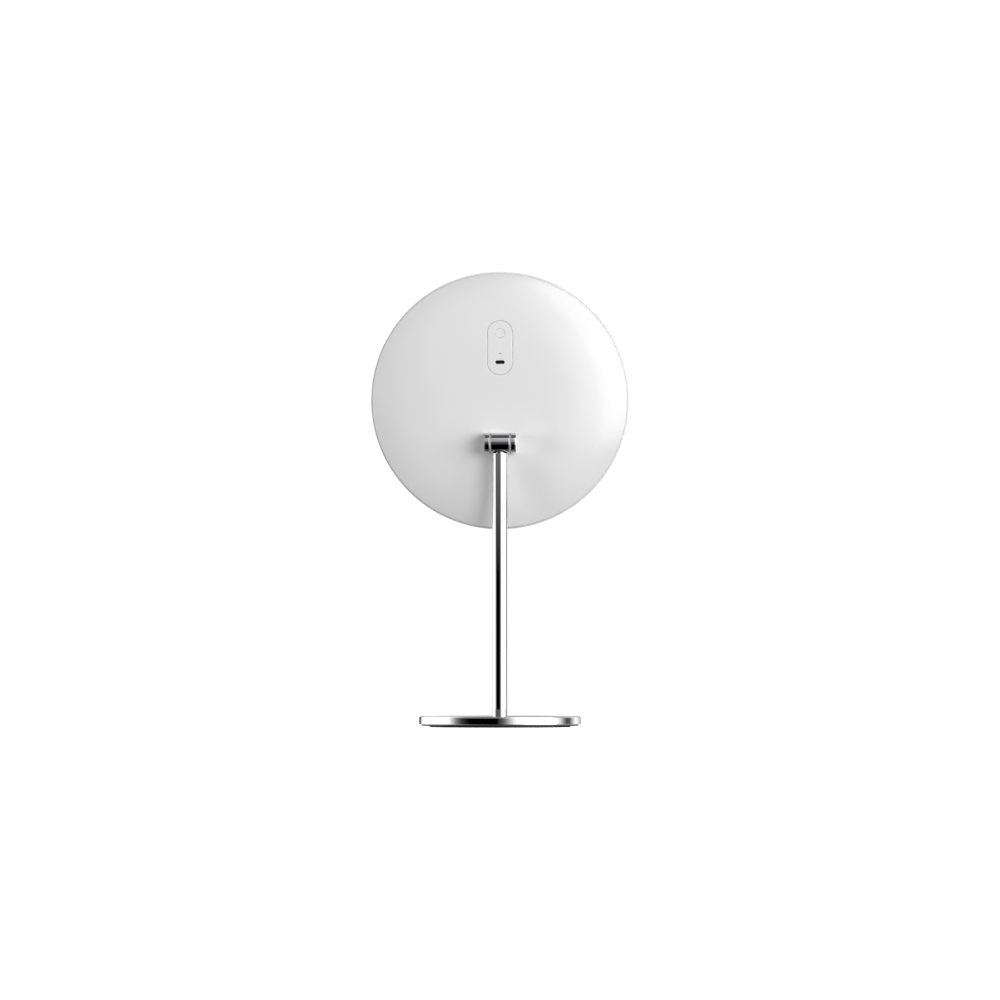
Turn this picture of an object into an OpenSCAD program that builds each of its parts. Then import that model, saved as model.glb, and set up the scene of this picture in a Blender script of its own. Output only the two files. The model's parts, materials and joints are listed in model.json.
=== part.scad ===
// Round smart display on a slim tilting stand.
// Frame: +Z up, origin at the centre of the foot on the table, display side facing -Y, rear facing +Y.

/* [Head] */
// Outer diameter of the round head, over the front bezel
head_d = 254; // [250:1:258]
// How far the rear shell steps in from the bezel, on the radius
shell_step = 1.2; // [0.8:0.1:1.6]
// Height of the bezel's outer wall
bezel_h = 6.2; // [6:0.1:6.4]
// Local height at which the rear dome starts
rim_z = 9.5; // [9.4:0.1:10]
// Rise of the rear dome over its rim
dome_rise = 19.5; // [19.5:0.5:22]
// Wall of the rear shell
shell_t = 2.6; // [2.2:0.1:2.8]
// Height of the low bump around the tilt hinge
nose_rise = 1.2; // [1:0.1:2]
// Reach of that bump around the hinge
nose_reach = 44; // [40:1:50]

/* [Control panel] */
// Width of the pill-shaped panel on the rear
pill_w = 24.7; // [23.7:0.1:25.7]
// Distance between the panel's two end centres: the button's and the charging port's
pill_pitch = 28.6; // [27.6:0.1:29.6]
// Height of the panel's middle above the head's centre
pill_y = 52; // [51:0.5:53]
// Gap round the panel
pill_gap = 0.3; // [0.2:0.05:0.5]
// Diameter of the power button
button_d = 9.2; // [9:0.1:9.6]
// Travel of the power button
button_travel = 0.4; // [0.2:0.1:0.4]

/* [Tilt hinge] */
// Height of the tilt axis over the table
hinge_h = 280; // [240:5:320]
// Distance of the tilt axis below the head's centre
hinge_drop = 42; // [41:0.5:43]
// Diameter of the hinge barrel
barrel_d = 19.7; // [19.5:0.1:20]
// Clear distance of the barrel from the top of the bump
barrel_gap = 8.7; // [8:0.1:9.5]
// Width of the fixed middle knuckle
knuckle_w = 18.3; // [18:0.1:18.4]
// Overall width of the barrel, over its end caps
barrel_w = 31.5; // [31.3:0.1:32]
// Diameter of the tilt shaft
shaft_d = 8; // [7.6:0.1:8]

/* [Stand] */
// Distance of the pole behind the middle of the base
pole_y = 28; // [20:1:34]
// Outer diameter of the pole
pole_d = 14.8; // [14.4:0.1:15.2]
// Wall of the pole
pole_t = 1.2; // [1:0.1:1.4]
// Diameter of the base
base_d = 160; // [156:1:180]
// Height of the polished base cover
base_h = 8; // [7.8:0.1:9]
// Wall of the base cover
cover_t = 1.5; // [1.2:0.1:1.6]
// Thickness of the steel plate under the base
plate_t = 1.6; // [1.4:0.1:2]
// Thickness of the rubber foot pad
pad_t = 1.3; // [1:0.1:2]
// Diameter of the rubber foot pad
pad_d = 139; // [130:1:144]

/* [Front] */
// Diameter of the mirror glass
glass_d = 212; // [211:0.5:212.4]
// Thickness of the mirror glass
glass_t = 3; // [2.8:0.1:3]
// Width of the screen module
screen_w = 165; // [150:1:165]
// Height of the screen module
screen_h = 100; // [90:1:100]
// Number of light-emitting diodes in the light ring
led_count = 60; // [36:6:72]

/* [Hidden] */

round_fn = 96;
small_fn = 32;
eps = 0.01;

// Stand levels, upwards from the table
plate_z = pad_t;
weight_z = plate_z + plate_t;
cover_top = weight_z + base_h;
weight_top = cover_top - cover_t - 0.05;
weight_r = base_d / 2 - cover_t - 0.5;
pole_socket = 2;
pole_z = weight_top - pole_socket;
pole_r = pole_d / 2;
pole_bore = pole_r - pole_t;
pole_top = hinge_h - barrel_d / 2 - 0.02;
bolt_r = 3;
bolt_head_r = 5.5;
bolt_head_t = 1.8;
washer_t = 0.8;
bolt_recess_r = 6.8;
bolt_recess_top = pole_z - 1.7;
insert_top = pole_z + 15;
foot_screw_r = 58;

// Hinge sizes along the tilt axis, outwards from the pole's centre plane
barrel_r = barrel_d / 2;
bush_r = 6;
shaft_r = shaft_d / 2;
run_gap = 0.05;
washer_in = knuckle_w / 2 + 0.1;
washer_out = washer_in + 1.3;
ear_in = washer_out + 0.1;
cap_t = 0.9;
ear_out = barrel_w / 2 - cap_t;
pocket_in = ear_in + 1.4;
pocket_r = 6.6;
seat_r = barrel_r + 0.65;

// Head frame: local X to the right seen from behind, Y up, Z rearwards from the front plane
head_z = hinge_h + hinge_drop;
head_r = head_d / 2;
shell_r = head_r - shell_step;
shell_front = bezel_h + 0.3;
cavity_r = shell_r - 2.2;
dome_steps = 18;
nose_steps = 12;
nose_top = dome_z(hinge_drop) + nose_rise;
hinge_out = nose_top + barrel_gap + barrel_r;
front_y = pole_y - hinge_out;
neck_x = 13.8;
neck_y = 8.3;
hinge_plate_z = 21.8;
hinge_plate_t = 2;
hinge_plate_top = hinge_plate_z + hinge_plate_t;
yoke_screw_x = 9;
yoke_screw_y = 5;
plate_screw_x = 26;
plate_screw_y = 12;

// Control panel levels
button_y = pill_y + pill_pitch / 2;
port_y = pill_y - pill_pitch / 2;
pipe_y = port_y + 8.7;
panel_t = 1.7;
port_w = 8.94;
port_h = 3.26;
board_t = 1.2;
control_z = 18.8;
control_top = control_z + board_t;
switch_top = control_top + 3.1;
flange_z = switch_top + button_travel + 0.5;
control_post_y = 22;

// Inner levels, rearwards from the front plane
glass_z = 0.3;
tape_z = glass_z + glass_t;
tape_t = 0.6;
screen_z = tape_z + tape_t;
screen_back = 9.2;
bracket_screw_x = 30;
bracket_screw_y = 54;
bracket_t = 1;
frame_z = screen_back + bracket_t;
frame_t = 1.8;
frame_back = frame_z + frame_t;
frame_r = 115.5;
seat_ring_in = 98.5;
seat_ring_out = 105.5;
shell_screw_r = 102;
led_board_t = 1.6;
led_z = frame_z - led_board_t - 0.8;
led_ring_r = 112.8;
led_board_in = 107;
led_board_out = 118.5;
opening_r = 119.5;
diffuser_in = 106.3;
diffuser_out = opening_r - 0.2;
diffuser_lip = opening_r + 1.5;
face_t = 1.6;
rim_wall = 2.1;
main_z = 13.8;
main_t = 1.6;
main_y = 52;
main_w = 100;
main_l = 56;
main_back = main_z + main_t;
battery_y = -50;
battery_z = frame_back + tape_t;
battery_lead_x = -30;
light_lead_x = -36;
light_lead_y = 102;

// Rear dome: flat in the middle, rolling off towards the rim
function dome_z(r) = rim_z + dome_rise * (1 - pow(r / shell_r, 4));

// Bump around the hinge, measured from the hinge's own centre line
function nose_z(d) = dome_z(hinge_drop + d) + nose_rise * pow(1 - pow(d / nose_reach, 2), 2);

// Puts a piece drawn in the head frame in its place
module on_head() {
    translate([0, front_y, head_z])
        rotate([90, 0, 180])
            children();
}

// Puts a piece drawn round the tilt axis in its place, with its Z along the axis
module on_hinge() {
    translate([0, pole_y, hinge_h])
        rotate([0, -90, 0])
            children();
}

// Solid under the dome, from the level low up to the dome less drop
module dome_solid(drop, radius, low) {
    curve = [for (i = [0 : dome_steps])
        let (r = radius * (1 - i / dome_steps)) [r, dome_z(r) - drop]];
    rotate_extrude($fn = round_fn)
        polygon(concat([[0, low], [radius, low]], curve));
}

// Solid under the hinge bump, less drop
module nose_solid(drop, low) {
    curve = [for (i = [0 : nose_steps])
        let (d = nose_reach * (1 - i / nose_steps)) [d, nose_z(d) - drop]];
    translate([0, -hinge_drop, 0])
        rotate_extrude($fn = round_fn)
            polygon(concat([[0, low], [nose_reach, low]], curve));
}

// Upright prism with two round ends, w wide, with its end centres pitch apart
module pill(w, pitch, h) {
    translate([-w / 2, -pitch / 2, 0])
        cube([w, pitch, h]);
    for (side = [-1, 1])
        translate([0, side * pitch / 2, 0])
            cylinder(d = w, h = h, $fn = round_fn);
}

// Level pill, as the outline of the charging port
module slot(w, t, h) {
    rotate([0, 0, 90])
        pill(t, w - t, h);
}

// Flat plate with rounded corners, centred in X and Y
module rounded_plate(w, l, h, r) {
    translate([-w / 2, -l / 2 + r, 0])
        cube([w, l - 2 * r, h]);
    translate([-w / 2 + r, -l / 2, 0])
        cube([w - 2 * r, l, h]);
    for (sx = [-1, 1], sy = [-1, 1])
        translate([sx * (w / 2 - r), sy * (l / 2 - r), 0])
            cylinder(r = r, h = h, $fn = small_fn);
}

module ring(outer, inner, h) {
    difference() {
        cylinder(r = outer, h = h, $fn = round_fn);
        translate([0, 0, -1])
            cylinder(r = inner, h = h + 2, $fn = round_fn);
    }
}

// Pan-head screw standing on its head, shank upwards
module screw(head_r, head_t, shank_r, length) {
    cylinder(r = head_r, h = head_t, $fn = small_fn);
    translate([0, 0, head_t - eps])
        cylinder(r = shank_r, h = length + eps, $fn = small_fn);
}

module at_corners(x, y) {
    for (sx = [-1, 1], sy = [-1, 1])
        translate([sx * x, sy * y, 0])
            children();
}

module around(count, radius, start) {
    for (i = [0 : count - 1])
        rotate([0, 0, start + i * 360 / count])
            translate([radius, 0, 0])
                children();
}

// Insulated wire through a list of points
module wire(points, r) {
    for (i = [0 : len(points) - 2])
        let (run = points[i + 1] - points[i], span = norm(run))
            translate(points[i])
                rotate([0, acos(run.z / span), atan2(run.y, run.x)])
                    cylinder(r = r, h = span, $fn = small_fn);
    for (i = [1 : len(points) - 2])
        translate(points[i])
            sphere(r = r + 0.08, $fn = small_fn);
}

// ---- Stand ----

module base_cover() {
    r = base_d / 2;
    edge = 1.6;
    lower_edge = 0.5;
    color("silver")
        difference() {
            translate([0, 0, weight_z])
                rotate_extrude($fn = 180) {
                    translate([r - edge, base_h - edge])
                        circle(r = edge, $fn = 48);
                    square([r - edge, base_h]);
                    translate([0, lower_edge])
                        square([r, base_h - edge - lower_edge]);
                    square([r - lower_edge, base_h - edge]);
                }
            translate([0, 0, weight_z - 1])
                cylinder(r = r - cover_t, h = base_h - cover_t + 1, $fn = 180);
            translate([0, pole_y, weight_z])
                cylinder(r = pole_r + run_gap, h = base_h + 1, $fn = round_fn);
        }
}

module base_weight() {
    color("dimgray")
        difference() {
            translate([0, 0, weight_z])
                cylinder(r = weight_r, h = weight_top - weight_z, $fn = 180);
            translate([0, pole_y, pole_z])
                cylinder(r = pole_r + run_gap, h = base_h, $fn = round_fn);
            translate([0, pole_y, weight_z - 1])
                cylinder(r = bolt_recess_r, h = bolt_recess_top - weight_z + 1, $fn = small_fn);
            translate([0, pole_y, weight_z])
                cylinder(r = bolt_r + 0.2, h = base_h, $fn = small_fn);
            around(4, foot_screw_r, 45)
                translate([0, 0, weight_z - 1])
                    cylinder(r = 1.55, h = 6, $fn = small_fn);
        }
}

module base_plate() {
    inset = 2.4;
    color("black")
        difference() {
            translate([0, 0, plate_z])
                cylinder(r = base_d / 2 - inset, h = plate_t, $fn = 180);
            around(4, foot_screw_r, 45)
                translate([0, 0, plate_z - 1])
                    cylinder(r = 3.1, h = plate_t + 2, $fn = small_fn);
        }
}

module foot_pad() {
    color("black")
        cylinder(d = pad_d, h = pad_t, $fn = 180);
}

module base_screws() {
    color("gray")
        around(4, foot_screw_r, 45)
            translate([0, 0, plate_z + 0.1])
                screw(3, plate_t - 0.1, 1.5, 4.6);
}

module pole_bolt() {
    color("gray")
        translate([0, pole_y, bolt_recess_top - washer_t - bolt_head_t])
            screw(bolt_head_r, bolt_head_t, bolt_r, insert_top - bolt_recess_top - 2);
}

module bolt_washer() {
    color("silver")
        translate([0, pole_y, bolt_recess_top - washer_t])
            ring(6.5, bolt_r + 0.1, washer_t);
}

module pole_insert() {
    color("gray")
        translate([0, pole_y, pole_z])
            ring(pole_bore - 0.02, bolt_r + 0.02, insert_top - pole_z);
}

module pole() {
    color("silver")
        translate([0, pole_y, pole_z])
            ring(pole_r, pole_bore, pole_top - pole_z);
}

// ---- Tilt hinge ----

module hinge_knuckle() {
    spigot_l = 14;
    neck_r = 4.5;
    color("silver")
        difference() {
            union() {
                on_hinge()
                    cylinder(r = barrel_r, h = knuckle_w, center = true, $fn = round_fn);
                translate([0, pole_y, pole_top - spigot_l]) {
                    cylinder(r = pole_bore - 0.02, h = spigot_l, $fn = round_fn);
                    cylinder(r = neck_r, h = hinge_h - pole_top + spigot_l, $fn = round_fn);
                }
            }
            on_hinge()
                cylinder(r = bush_r, h = 60, center = true, $fn = round_fn);
        }
}

module friction_bush() {
    color("darkgray")
        on_hinge()
            difference() {
                cylinder(r = bush_r, h = knuckle_w, center = true, $fn = round_fn);
                cylinder(r = shaft_r + run_gap, h = 60, center = true, $fn = round_fn);
            }
}

// One ear of the yoke in the head frame, with the pocket for the shaft's end
module yoke_ear(side) {
    width = ear_out - ear_in;
    middle = side * (ear_in + ear_out) / 2;
    difference() {
        union() {
            translate([middle, -hinge_drop, hinge_out])
                rotate([0, 90, 0])
                    cylinder(r = barrel_r, h = width, center = true, $fn = round_fn);
            translate([middle - width / 2, -hinge_drop - barrel_r, nose_top])
                cube([width, barrel_d, hinge_out - nose_top]);
        }
        translate([0, -hinge_drop, hinge_out])
            rotate([0, 90, 0])
                cylinder(r = shaft_r + 0.02, h = 60, center = true, $fn = round_fn);
        translate([side * (pocket_in + 5), -hinge_drop, hinge_out])
            rotate([0, 90, 0])
                cylinder(r = pocket_r, h = 10, center = true, $fn = round_fn);
    }
}

module hinge_yoke() {
    bridge_t = hinge_out - seat_r - nose_top;
    color("silver")
        on_head()
            difference() {
                union() {
                    yoke_ear(-1);
                    yoke_ear(1);
                    translate([-ear_out, -hinge_drop - barrel_r, nose_top])
                        cube([2 * ear_out, barrel_d, bridge_t]);
                    translate([-neck_x, -hinge_drop - neck_y, hinge_plate_top])
                        cube([2 * neck_x, 2 * neck_y, nose_top - hinge_plate_top + eps]);
                }
                translate([0, -hinge_drop, hinge_plate_top - 1])
                    at_corners(yoke_screw_x, yoke_screw_y)
                        cylinder(r = 2.02, h = 11.5, $fn = small_fn);
            }
}

module hinge_shaft() {
    head_in = pocket_in;
    color("gray")
        on_hinge() {
            translate([0, 0, -pocket_in])
                cylinder(r = shaft_r, h = 2 * pocket_in, $fn = round_fn);
            translate([0, 0, head_in])
                cylinder(r = 5.5, h = 1.8, $fn = round_fn);
            translate([0, 0, -pocket_in - 2.55])
                cylinder(r = 3, h = 2.56, $fn = round_fn);
        }
}

module spring_washer() {
    color("silver")
        on_hinge()
            translate([0, 0, -pocket_in - 0.8])
                ring(5.5, 3.05, 0.8);
}

module lock_nut() {
    color("gray")
        on_hinge()
            translate([0, 0, -pocket_in - 2.5])
                difference() {
                    cylinder(r = 5.2, h = 1.7, $fn = 6);
                    translate([0, 0, -1])
                        cylinder(r = 3.02, h = 4, $fn = round_fn);
                }
}

module hinge_washers() {
    color("whitesmoke")
        on_hinge()
            for (side = [-1, 1])
                translate([0, 0, side * (washer_in + washer_out) / 2 - (washer_out - washer_in) / 2])
                    ring(barrel_r - 0.5, shaft_r + 0.02, washer_out - washer_in);
}

module end_caps() {
    bevel = 0.5;
    color("silver")
        on_hinge()
            for (side = [0, 1])
                mirror([0, 0, side]) {
                    translate([0, 0, ear_out])
                        cylinder(r = barrel_r, h = cap_t - bevel, $fn = round_fn);
                    translate([0, 0, ear_out + cap_t - bevel])
                        cylinder(r1 = barrel_r, r2 = barrel_r - bevel, h = bevel, $fn = round_fn);
                    translate([0, 0, ear_out - 0.4])
                        ring(pocket_r - 0.05, pocket_r - 0.7, 0.4 + eps);
                }
}

module yoke_screws() {
    color("gray")
        on_head()
            translate([0, -hinge_drop, hinge_plate_z - 1.6])
                at_corners(yoke_screw_x, yoke_screw_y)
                    screw(3.6, 1.6, 2, hinge_plate_t + 9.5);
}

module hinge_plate() {
    color("lightgray")
        on_head()
            translate([0, -hinge_drop, hinge_plate_z])
                difference() {
                    rounded_plate(64, 36, hinge_plate_t, 4);
                    at_corners(yoke_screw_x, yoke_screw_y)
                        translate([0, 0, -1])
                            cylinder(r = 2.1, h = 4, $fn = small_fn);
                    at_corners(plate_screw_x, plate_screw_y)
                        translate([0, 0, -1])
                            cylinder(r = 1.6, h = 4, $fn = small_fn);
                }
}

module plate_screws() {
    color("gray")
        on_head()
            translate([0, -hinge_drop, hinge_plate_z - 1.4])
                at_corners(plate_screw_x, plate_screw_y)
                    screw(2.8, 1.4, 1.5, hinge_plate_t + 2.6);
}

// ---- Rear of the head ----

// Posts inside the rear shell, trimmed where they join its wall
module shell_posts() {
    intersection() {
        union() {
            around(6, shell_screw_r, 30)
                translate([0, 0, frame_back])
                    cylinder(r = 4, h = 8, $fn = small_fn);
            translate([0, -hinge_drop, hinge_plate_top])
                at_corners(plate_screw_x, plate_screw_y)
                    cylinder(r = 4, h = 4, $fn = small_fn);
            for (side = [-1, 1])
                translate([0, pill_y + side * control_post_y, control_top])
                    cylinder(r = 1.9, h = 8, $fn = small_fn);
        }
        dome_solid(1, cavity_r, 0);
    }
}

// Panel recess and the window through its floor
module panel_cut() {
    translate([0, pill_y, 0]) {
        intersection() {
            pill(pill_w + 2 * pill_gap, pill_pitch, 40);
            translate([0, -pill_y, 0])
                difference() {
                    dome_solid(-5, shell_r, 0);
                    dome_solid(panel_t + 0.05, shell_r, -1);
                }
        }
        pill(pill_w - 3.4, pill_pitch - 3, 40);
    }
}

module rear_shell() {
    color("white")
        on_head()
            difference() {
                union() {
                    difference() {
                        union() {
                            dome_solid(0, shell_r, shell_front);
                            nose_solid(0, 15);
                        }
                        dome_solid(shell_t, cavity_r, 0);
                        nose_solid(shell_t, 10);
                    }
                    translate([-neck_x - 1.5, -hinge_drop - neck_y - 1.5, hinge_plate_top + 0.4])
                        cube([2 * neck_x + 3, 2 * neck_y + 3, nose_top - hinge_plate_top - 0.4]);
                    shell_posts();
                }
                translate([-neck_x - 0.2, -hinge_drop - neck_y - 0.2, 0])
                    cube([2 * neck_x + 0.4, 2 * neck_y + 0.4, 60]);
                panel_cut();
                around(6, shell_screw_r, 30)
                    cylinder(r = 1.52, h = 16.4, $fn = small_fn);
                translate([0, -hinge_drop, 0])
                    at_corners(plate_screw_x, plate_screw_y)
                        cylinder(r = 1.52, h = 26.5, $fn = small_fn);
                for (side = [-1, 1])
                    translate([0, pill_y + side * control_post_y, 0])
                        cylinder(r = 1.02, h = 24, $fn = small_fn);
            }
}

module control_panel() {
    color("white")
        on_head()
            difference() {
                intersection() {
                    translate([0, pill_y, 0])
                        pill(pill_w, pill_pitch, 40);
                    difference() {
                        dome_solid(0, shell_r, 0);
                        dome_solid(panel_t, shell_r, -1);
                    }
                }
                translate([0, button_y, 0])
                    cylinder(r = button_d / 2 + 0.3, h = 40, $fn = round_fn);
                translate([0, port_y, 0])
                    slot(port_w + 0.2, port_h + 0.2, 40);
                translate([0, pipe_y, 0])
                    cylinder(r = 0.65, h = 40, $fn = small_fn);
            }
}

module usb_c_port() {
    mouth = dome_z(port_y) - 0.8;
    color("silver")
        on_head()
            translate([0, port_y, control_top])
                difference() {
                    slot(port_w, port_h, mouth - control_top);
                    translate([0, 0, -1])
                        slot(port_w - 0.6, port_h - 0.7, 20);
                }
}

module usb_c_core() {
    color("black")
        on_head()
            translate([0, port_y, control_top]) {
                slot(port_w - 0.64, port_h - 0.74, 2.4);
                translate([-3.35, -0.35, 2])
                    cube([6.7, 0.7, 5.3]);
            }
}

module light_pipe() {
    color("gainsboro")
        on_head()
            intersection() {
                translate([0, pipe_y, control_top + 0.8])
                    cylinder(r = 0.6, h = 20, $fn = small_fn);
                dome_solid(0.05, shell_r, 0);
            }
}

module control_board() {
    color("darkgreen")
        on_head()
            translate([0, pill_y, control_z])
                difference() {
                    rounded_plate(18, 2 * control_post_y + 6, board_t, 2);
                    for (side = [-1, 1])
                        translate([0, side * control_post_y, -1])
                            cylinder(r = 1.1, h = 4, $fn = small_fn);
                }
}

module charge_led() {
    color("ivory")
        on_head()
            translate([-0.8, pipe_y - 0.4, control_top])
                cube([1.6, 0.8, 0.6]);
}

module tact_switch() {
    side = 6;
    color("dimgray")
        on_head()
            difference() {
                translate([-side / 2, button_y - side / 2, control_top])
                    cube([side, side, switch_top - control_top]);
                translate([0, button_y, control_top + 1.2])
                    cylinder(r = 2, h = 4, $fn = small_fn);
            }
}

module power_button() {
    color("white")
        on_head() {
            intersection() {
                translate([0, button_y, flange_z])
                    cylinder(d = button_d, h = 10, $fn = round_fn);
                dome_solid(0, shell_r, 0);
            }
            translate([0, button_y, flange_z])
                cylinder(r = button_d / 2 + 1.2, h = 0.7, $fn = round_fn);
        }
}

module switch_plunger() {
    color("dimgray")
        on_head()
            translate([0, button_y, control_top + 1.7])
                cylinder(r = 1.7, h = flange_z - control_top - 1.7, $fn = small_fn);
}

// ---- Electronics ----

module main_board() {
    color("darkgreen")
        on_head()
            translate([0, main_y, main_z])
                difference() {
                    rounded_plate(main_w, main_l, main_t, 3);
                    at_corners(main_w / 2 - 5, main_l / 2 - 5)
                        translate([0, 0, -1])
                            cylinder(r = 1.1, h = 4, $fn = small_fn);
                }
}

// Chips and connectors on the main board: place, then size
module board_components() {
    chips = [
        [[-22, 62], [16, 16, 1.8]],
        [[22, 62], [12, 14, 1.4]],
        [[26, 42], [9, 9, 2.6]],
        [[-26, 42], [10, 7, 1.5]],
        [[-36, 74.5], [6, 5, 2.4]],
        [[-30, 29], [8, 5, 2.6]],
        [[0, 29], [26, 4, 1.3]]
    ];
    color("dimgray")
        on_head() {
            for (chip = chips)
                translate([chip[0].x - chip[1].x / 2, chip[0].y - chip[1].y / 2, main_back])
                    cube(chip[1]);
            for (x = [36, 41])
                translate([x, 42, main_back])
                    cylinder(r = 2, h = 2.4, $fn = small_fn);
        }
}

module board_link() {
    color("black")
        on_head()
            translate([-4, 52, main_back])
                cube([8, 3, control_z - main_back]);
}

module board_standoffs() {
    color("goldenrod")
        on_head()
            translate([0, main_y, frame_back])
                at_corners(main_w / 2 - 5, main_l / 2 - 5)
                    difference() {
                        cylinder(r = 2.6, h = main_z - frame_back, $fn = 6);
                        translate([0, 0, -1])
                            cylinder(r = 1.05, h = 5, $fn = small_fn);
                    }
}

module board_screws() {
    color("gray")
        on_head() {
            translate([0, main_y, main_back + 1.2])
                at_corners(main_w / 2 - 5, main_l / 2 - 5)
                    mirror([0, 0, 1])
                        screw(1.9, 1.2, 1, 3);
            for (side = [-1, 1])
                translate([0, pill_y + side * control_post_y, control_z - 1.2])
                    screw(1.9, 1.2, 1, 5);
        }
}

module battery_pack() {
    color("lightgray")
        on_head()
            translate([0, battery_y, battery_z])
                rounded_plate(96, 58, 7, 3);
}

module battery_tape() {
    color("darkslategray")
        on_head()
            translate([0, battery_y, frame_back])
                rounded_plate(84, 46, tape_t, 2);
}

module battery_lead() {
    run = [[0, -21, 16], [0, -18, 16], [0, -12, 14.5], [0, 12, 14.5], [0, 18, 16.6], [0, 26.4, 16.6]];
    color("red")
        on_head()
            for (offset = [-1, 1])
                wire([for (p = run) p + [battery_lead_x + offset, 0, 0]], 0.8);
}

module light_lead() {
    run = [[0, light_lead_y, frame_z], [0, light_lead_y, 14.2], [0, 86, 16.6], [0, 77, 16.6]];
    color("gold")
        on_head()
            translate([light_lead_x, 0, 0])
                wire(run, 0.8);
}

// ---- Front of the head ----

module mid_frame() {
    color("gainsboro")
        on_head()
            difference() {
                union() {
                    translate([0, 0, frame_z])
                        cylinder(r = frame_r, h = frame_t, $fn = round_fn);
                    translate([0, 0, screen_z])
                        ring(seat_ring_out, seat_ring_in, frame_z - screen_z + eps);
                }
                around(6, shell_screw_r, 30) {
                    cylinder(r = 1.6, h = 20, $fn = small_fn);
                    cylinder(r = 2.9, h = 6.2, $fn = small_fn);
                }
                translate([-14, 12, 0])
                    cube([28, 5, 20]);
                translate([light_lead_x, light_lead_y, 0])
                    cylinder(r = 1.5, h = 20, $fn = small_fn);
                at_corners(bracket_screw_x, bracket_screw_y)
                    cylinder(r = 1.02, h = 20, $fn = small_fn);
                translate([0, main_y, 0])
                    at_corners(main_w / 2 - 5, main_l / 2 - 5)
                        cylinder(r = 1.02, h = 20, $fn = small_fn);
            }
}

module shell_screws() {
    color("gray")
        on_head()
            around(6, shell_screw_r, 30)
                translate([0, 0, 4.4])
                    screw(2.8, 1.8, 1.5, 9.8);
}

module led_ring_board() {
    color("white")
        on_head()
            translate([0, 0, frame_z - led_board_t])
                ring(led_board_out, led_board_in, led_board_t);
}

module ring_leds() {
    color("lightyellow")
        on_head()
            around(led_count, led_ring_r, 0)
                translate([-1.4, -1.75, led_z])
                    cube([2.8, 3.5, 0.8]);
}

module display_panel() {
    color("black")
        on_head()
            translate([-screen_w / 2, -screen_h / 2, screen_z])
                cube([screen_w, screen_h, screen_back - screen_z]);
}

module display_ribbon() {
    width = 24;
    film = 0.3;
    rise_y = 14;
    top_z = main_back + 1.3;
    color("orange")
        on_head()
            translate([-width / 2, 0, 0]) {
                translate([0, 6, screen_back])
                    cube([width, rise_y + film - 6, film]);
                translate([0, rise_y, screen_back])
                    cube([width, film, top_z + film - screen_back]);
                translate([0, rise_y, top_z])
                    cube([width, 16.5, film]);
            }
}

module display_brackets() {
    color("lightgray")
        on_head()
            for (side = [0, 1])
                mirror([0, side, 0])
                    difference() {
                        translate([-40, 44, screen_back])
                            cube([80, 14, bracket_t]);
                        for (x = [-bracket_screw_x, bracket_screw_x])
                            translate([x, bracket_screw_y, screen_back - 1])
                                cylinder(r = 1.1, h = 4, $fn = small_fn);
                    }
}

module display_screws() {
    color("gray")
        on_head()
            translate([0, 0, screen_back - 1.2])
                at_corners(bracket_screw_x, bracket_screw_y)
                    screw(1.9, 1.2, 1, 2.7);
}

module touch_sensor() {
    width = screen_w + 1;
    height = screen_h + 1;
    color("slategray")
        on_head()
            translate([-width / 2, -height / 2, tape_z])
                cube([width, height, tape_t]);
}

module glass_tape() {
    color("dimgray")
        on_head()
            translate([0, 0, tape_z])
                ring(seat_ring_out - 0.3, seat_ring_in + 0.5, tape_t);
}

module mirror_glass() {
    bevel = 0.4;
    color("lightsteelblue")
        on_head()
            translate([0, 0, glass_z]) {
                cylinder(r1 = glass_d / 2 - bevel, r2 = glass_d / 2, h = bevel, $fn = 180);
                translate([0, 0, bevel])
                    cylinder(r = glass_d / 2, h = glass_t - bevel, $fn = 180);
            }
}

module light_diffuser() {
    color("white")
        on_head() {
            translate([0, 0, 0.4])
                ring(diffuser_out, diffuser_in, 2.5);
            translate([0, 0, face_t + 0.2])
                ring(diffuser_lip, opening_r - 0.5, 1.1);
        }
}

module front_bezel() {
    edge = 1.2;
    color("white")
        on_head() {
            difference() {
                rotate_extrude($fn = 180) {
                    translate([head_r - edge, edge])
                        circle(r = edge, $fn = 48);
                    translate([opening_r, 0])
                        square([head_r - edge - opening_r, bezel_h]);
                    translate([head_r - edge, edge])
                        square([edge, bezel_h - edge]);
                }
                translate([0, 0, face_t])
                    cylinder(r = head_r - rim_wall, h = 20, $fn = 180);
            }
            translate([0, 0, face_t - eps])
                ring(cavity_r - 0.3, cavity_r - 2.4, 6.3);
        }
}

base_cover();
base_weight();
base_plate();
foot_pad();
base_screws();
pole_bolt();
bolt_washer();
pole_insert();
pole();
hinge_knuckle();
friction_bush();
hinge_yoke();
hinge_shaft();
spring_washer();
lock_nut();
hinge_washers();
end_caps();
yoke_screws();
hinge_plate();
plate_screws();
rear_shell();
control_panel();
usb_c_port();
usb_c_core();
light_pipe();
control_board();
charge_led();
tact_switch();
power_button();
switch_plunger();
main_board();
board_components();
board_link();
board_standoffs();
board_screws();
battery_pack();
battery_tape();
battery_lead();
light_lead();
mid_frame();
shell_screws();
led_ring_board();
ring_leds();
display_panel();
display_ribbon();
display_brackets();
display_screws();
touch_sensor();
glass_tape();
mirror_glass();
light_diffuser();
front_bezel();
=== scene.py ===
import json
import math

import bmesh
import bpy
from bpy.props import FloatProperty, FloatVectorProperty, IntProperty, PointerProperty
from mathutils import Matrix, Vector
from mathutils.geometry import delaunay_2d_cdt


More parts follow.
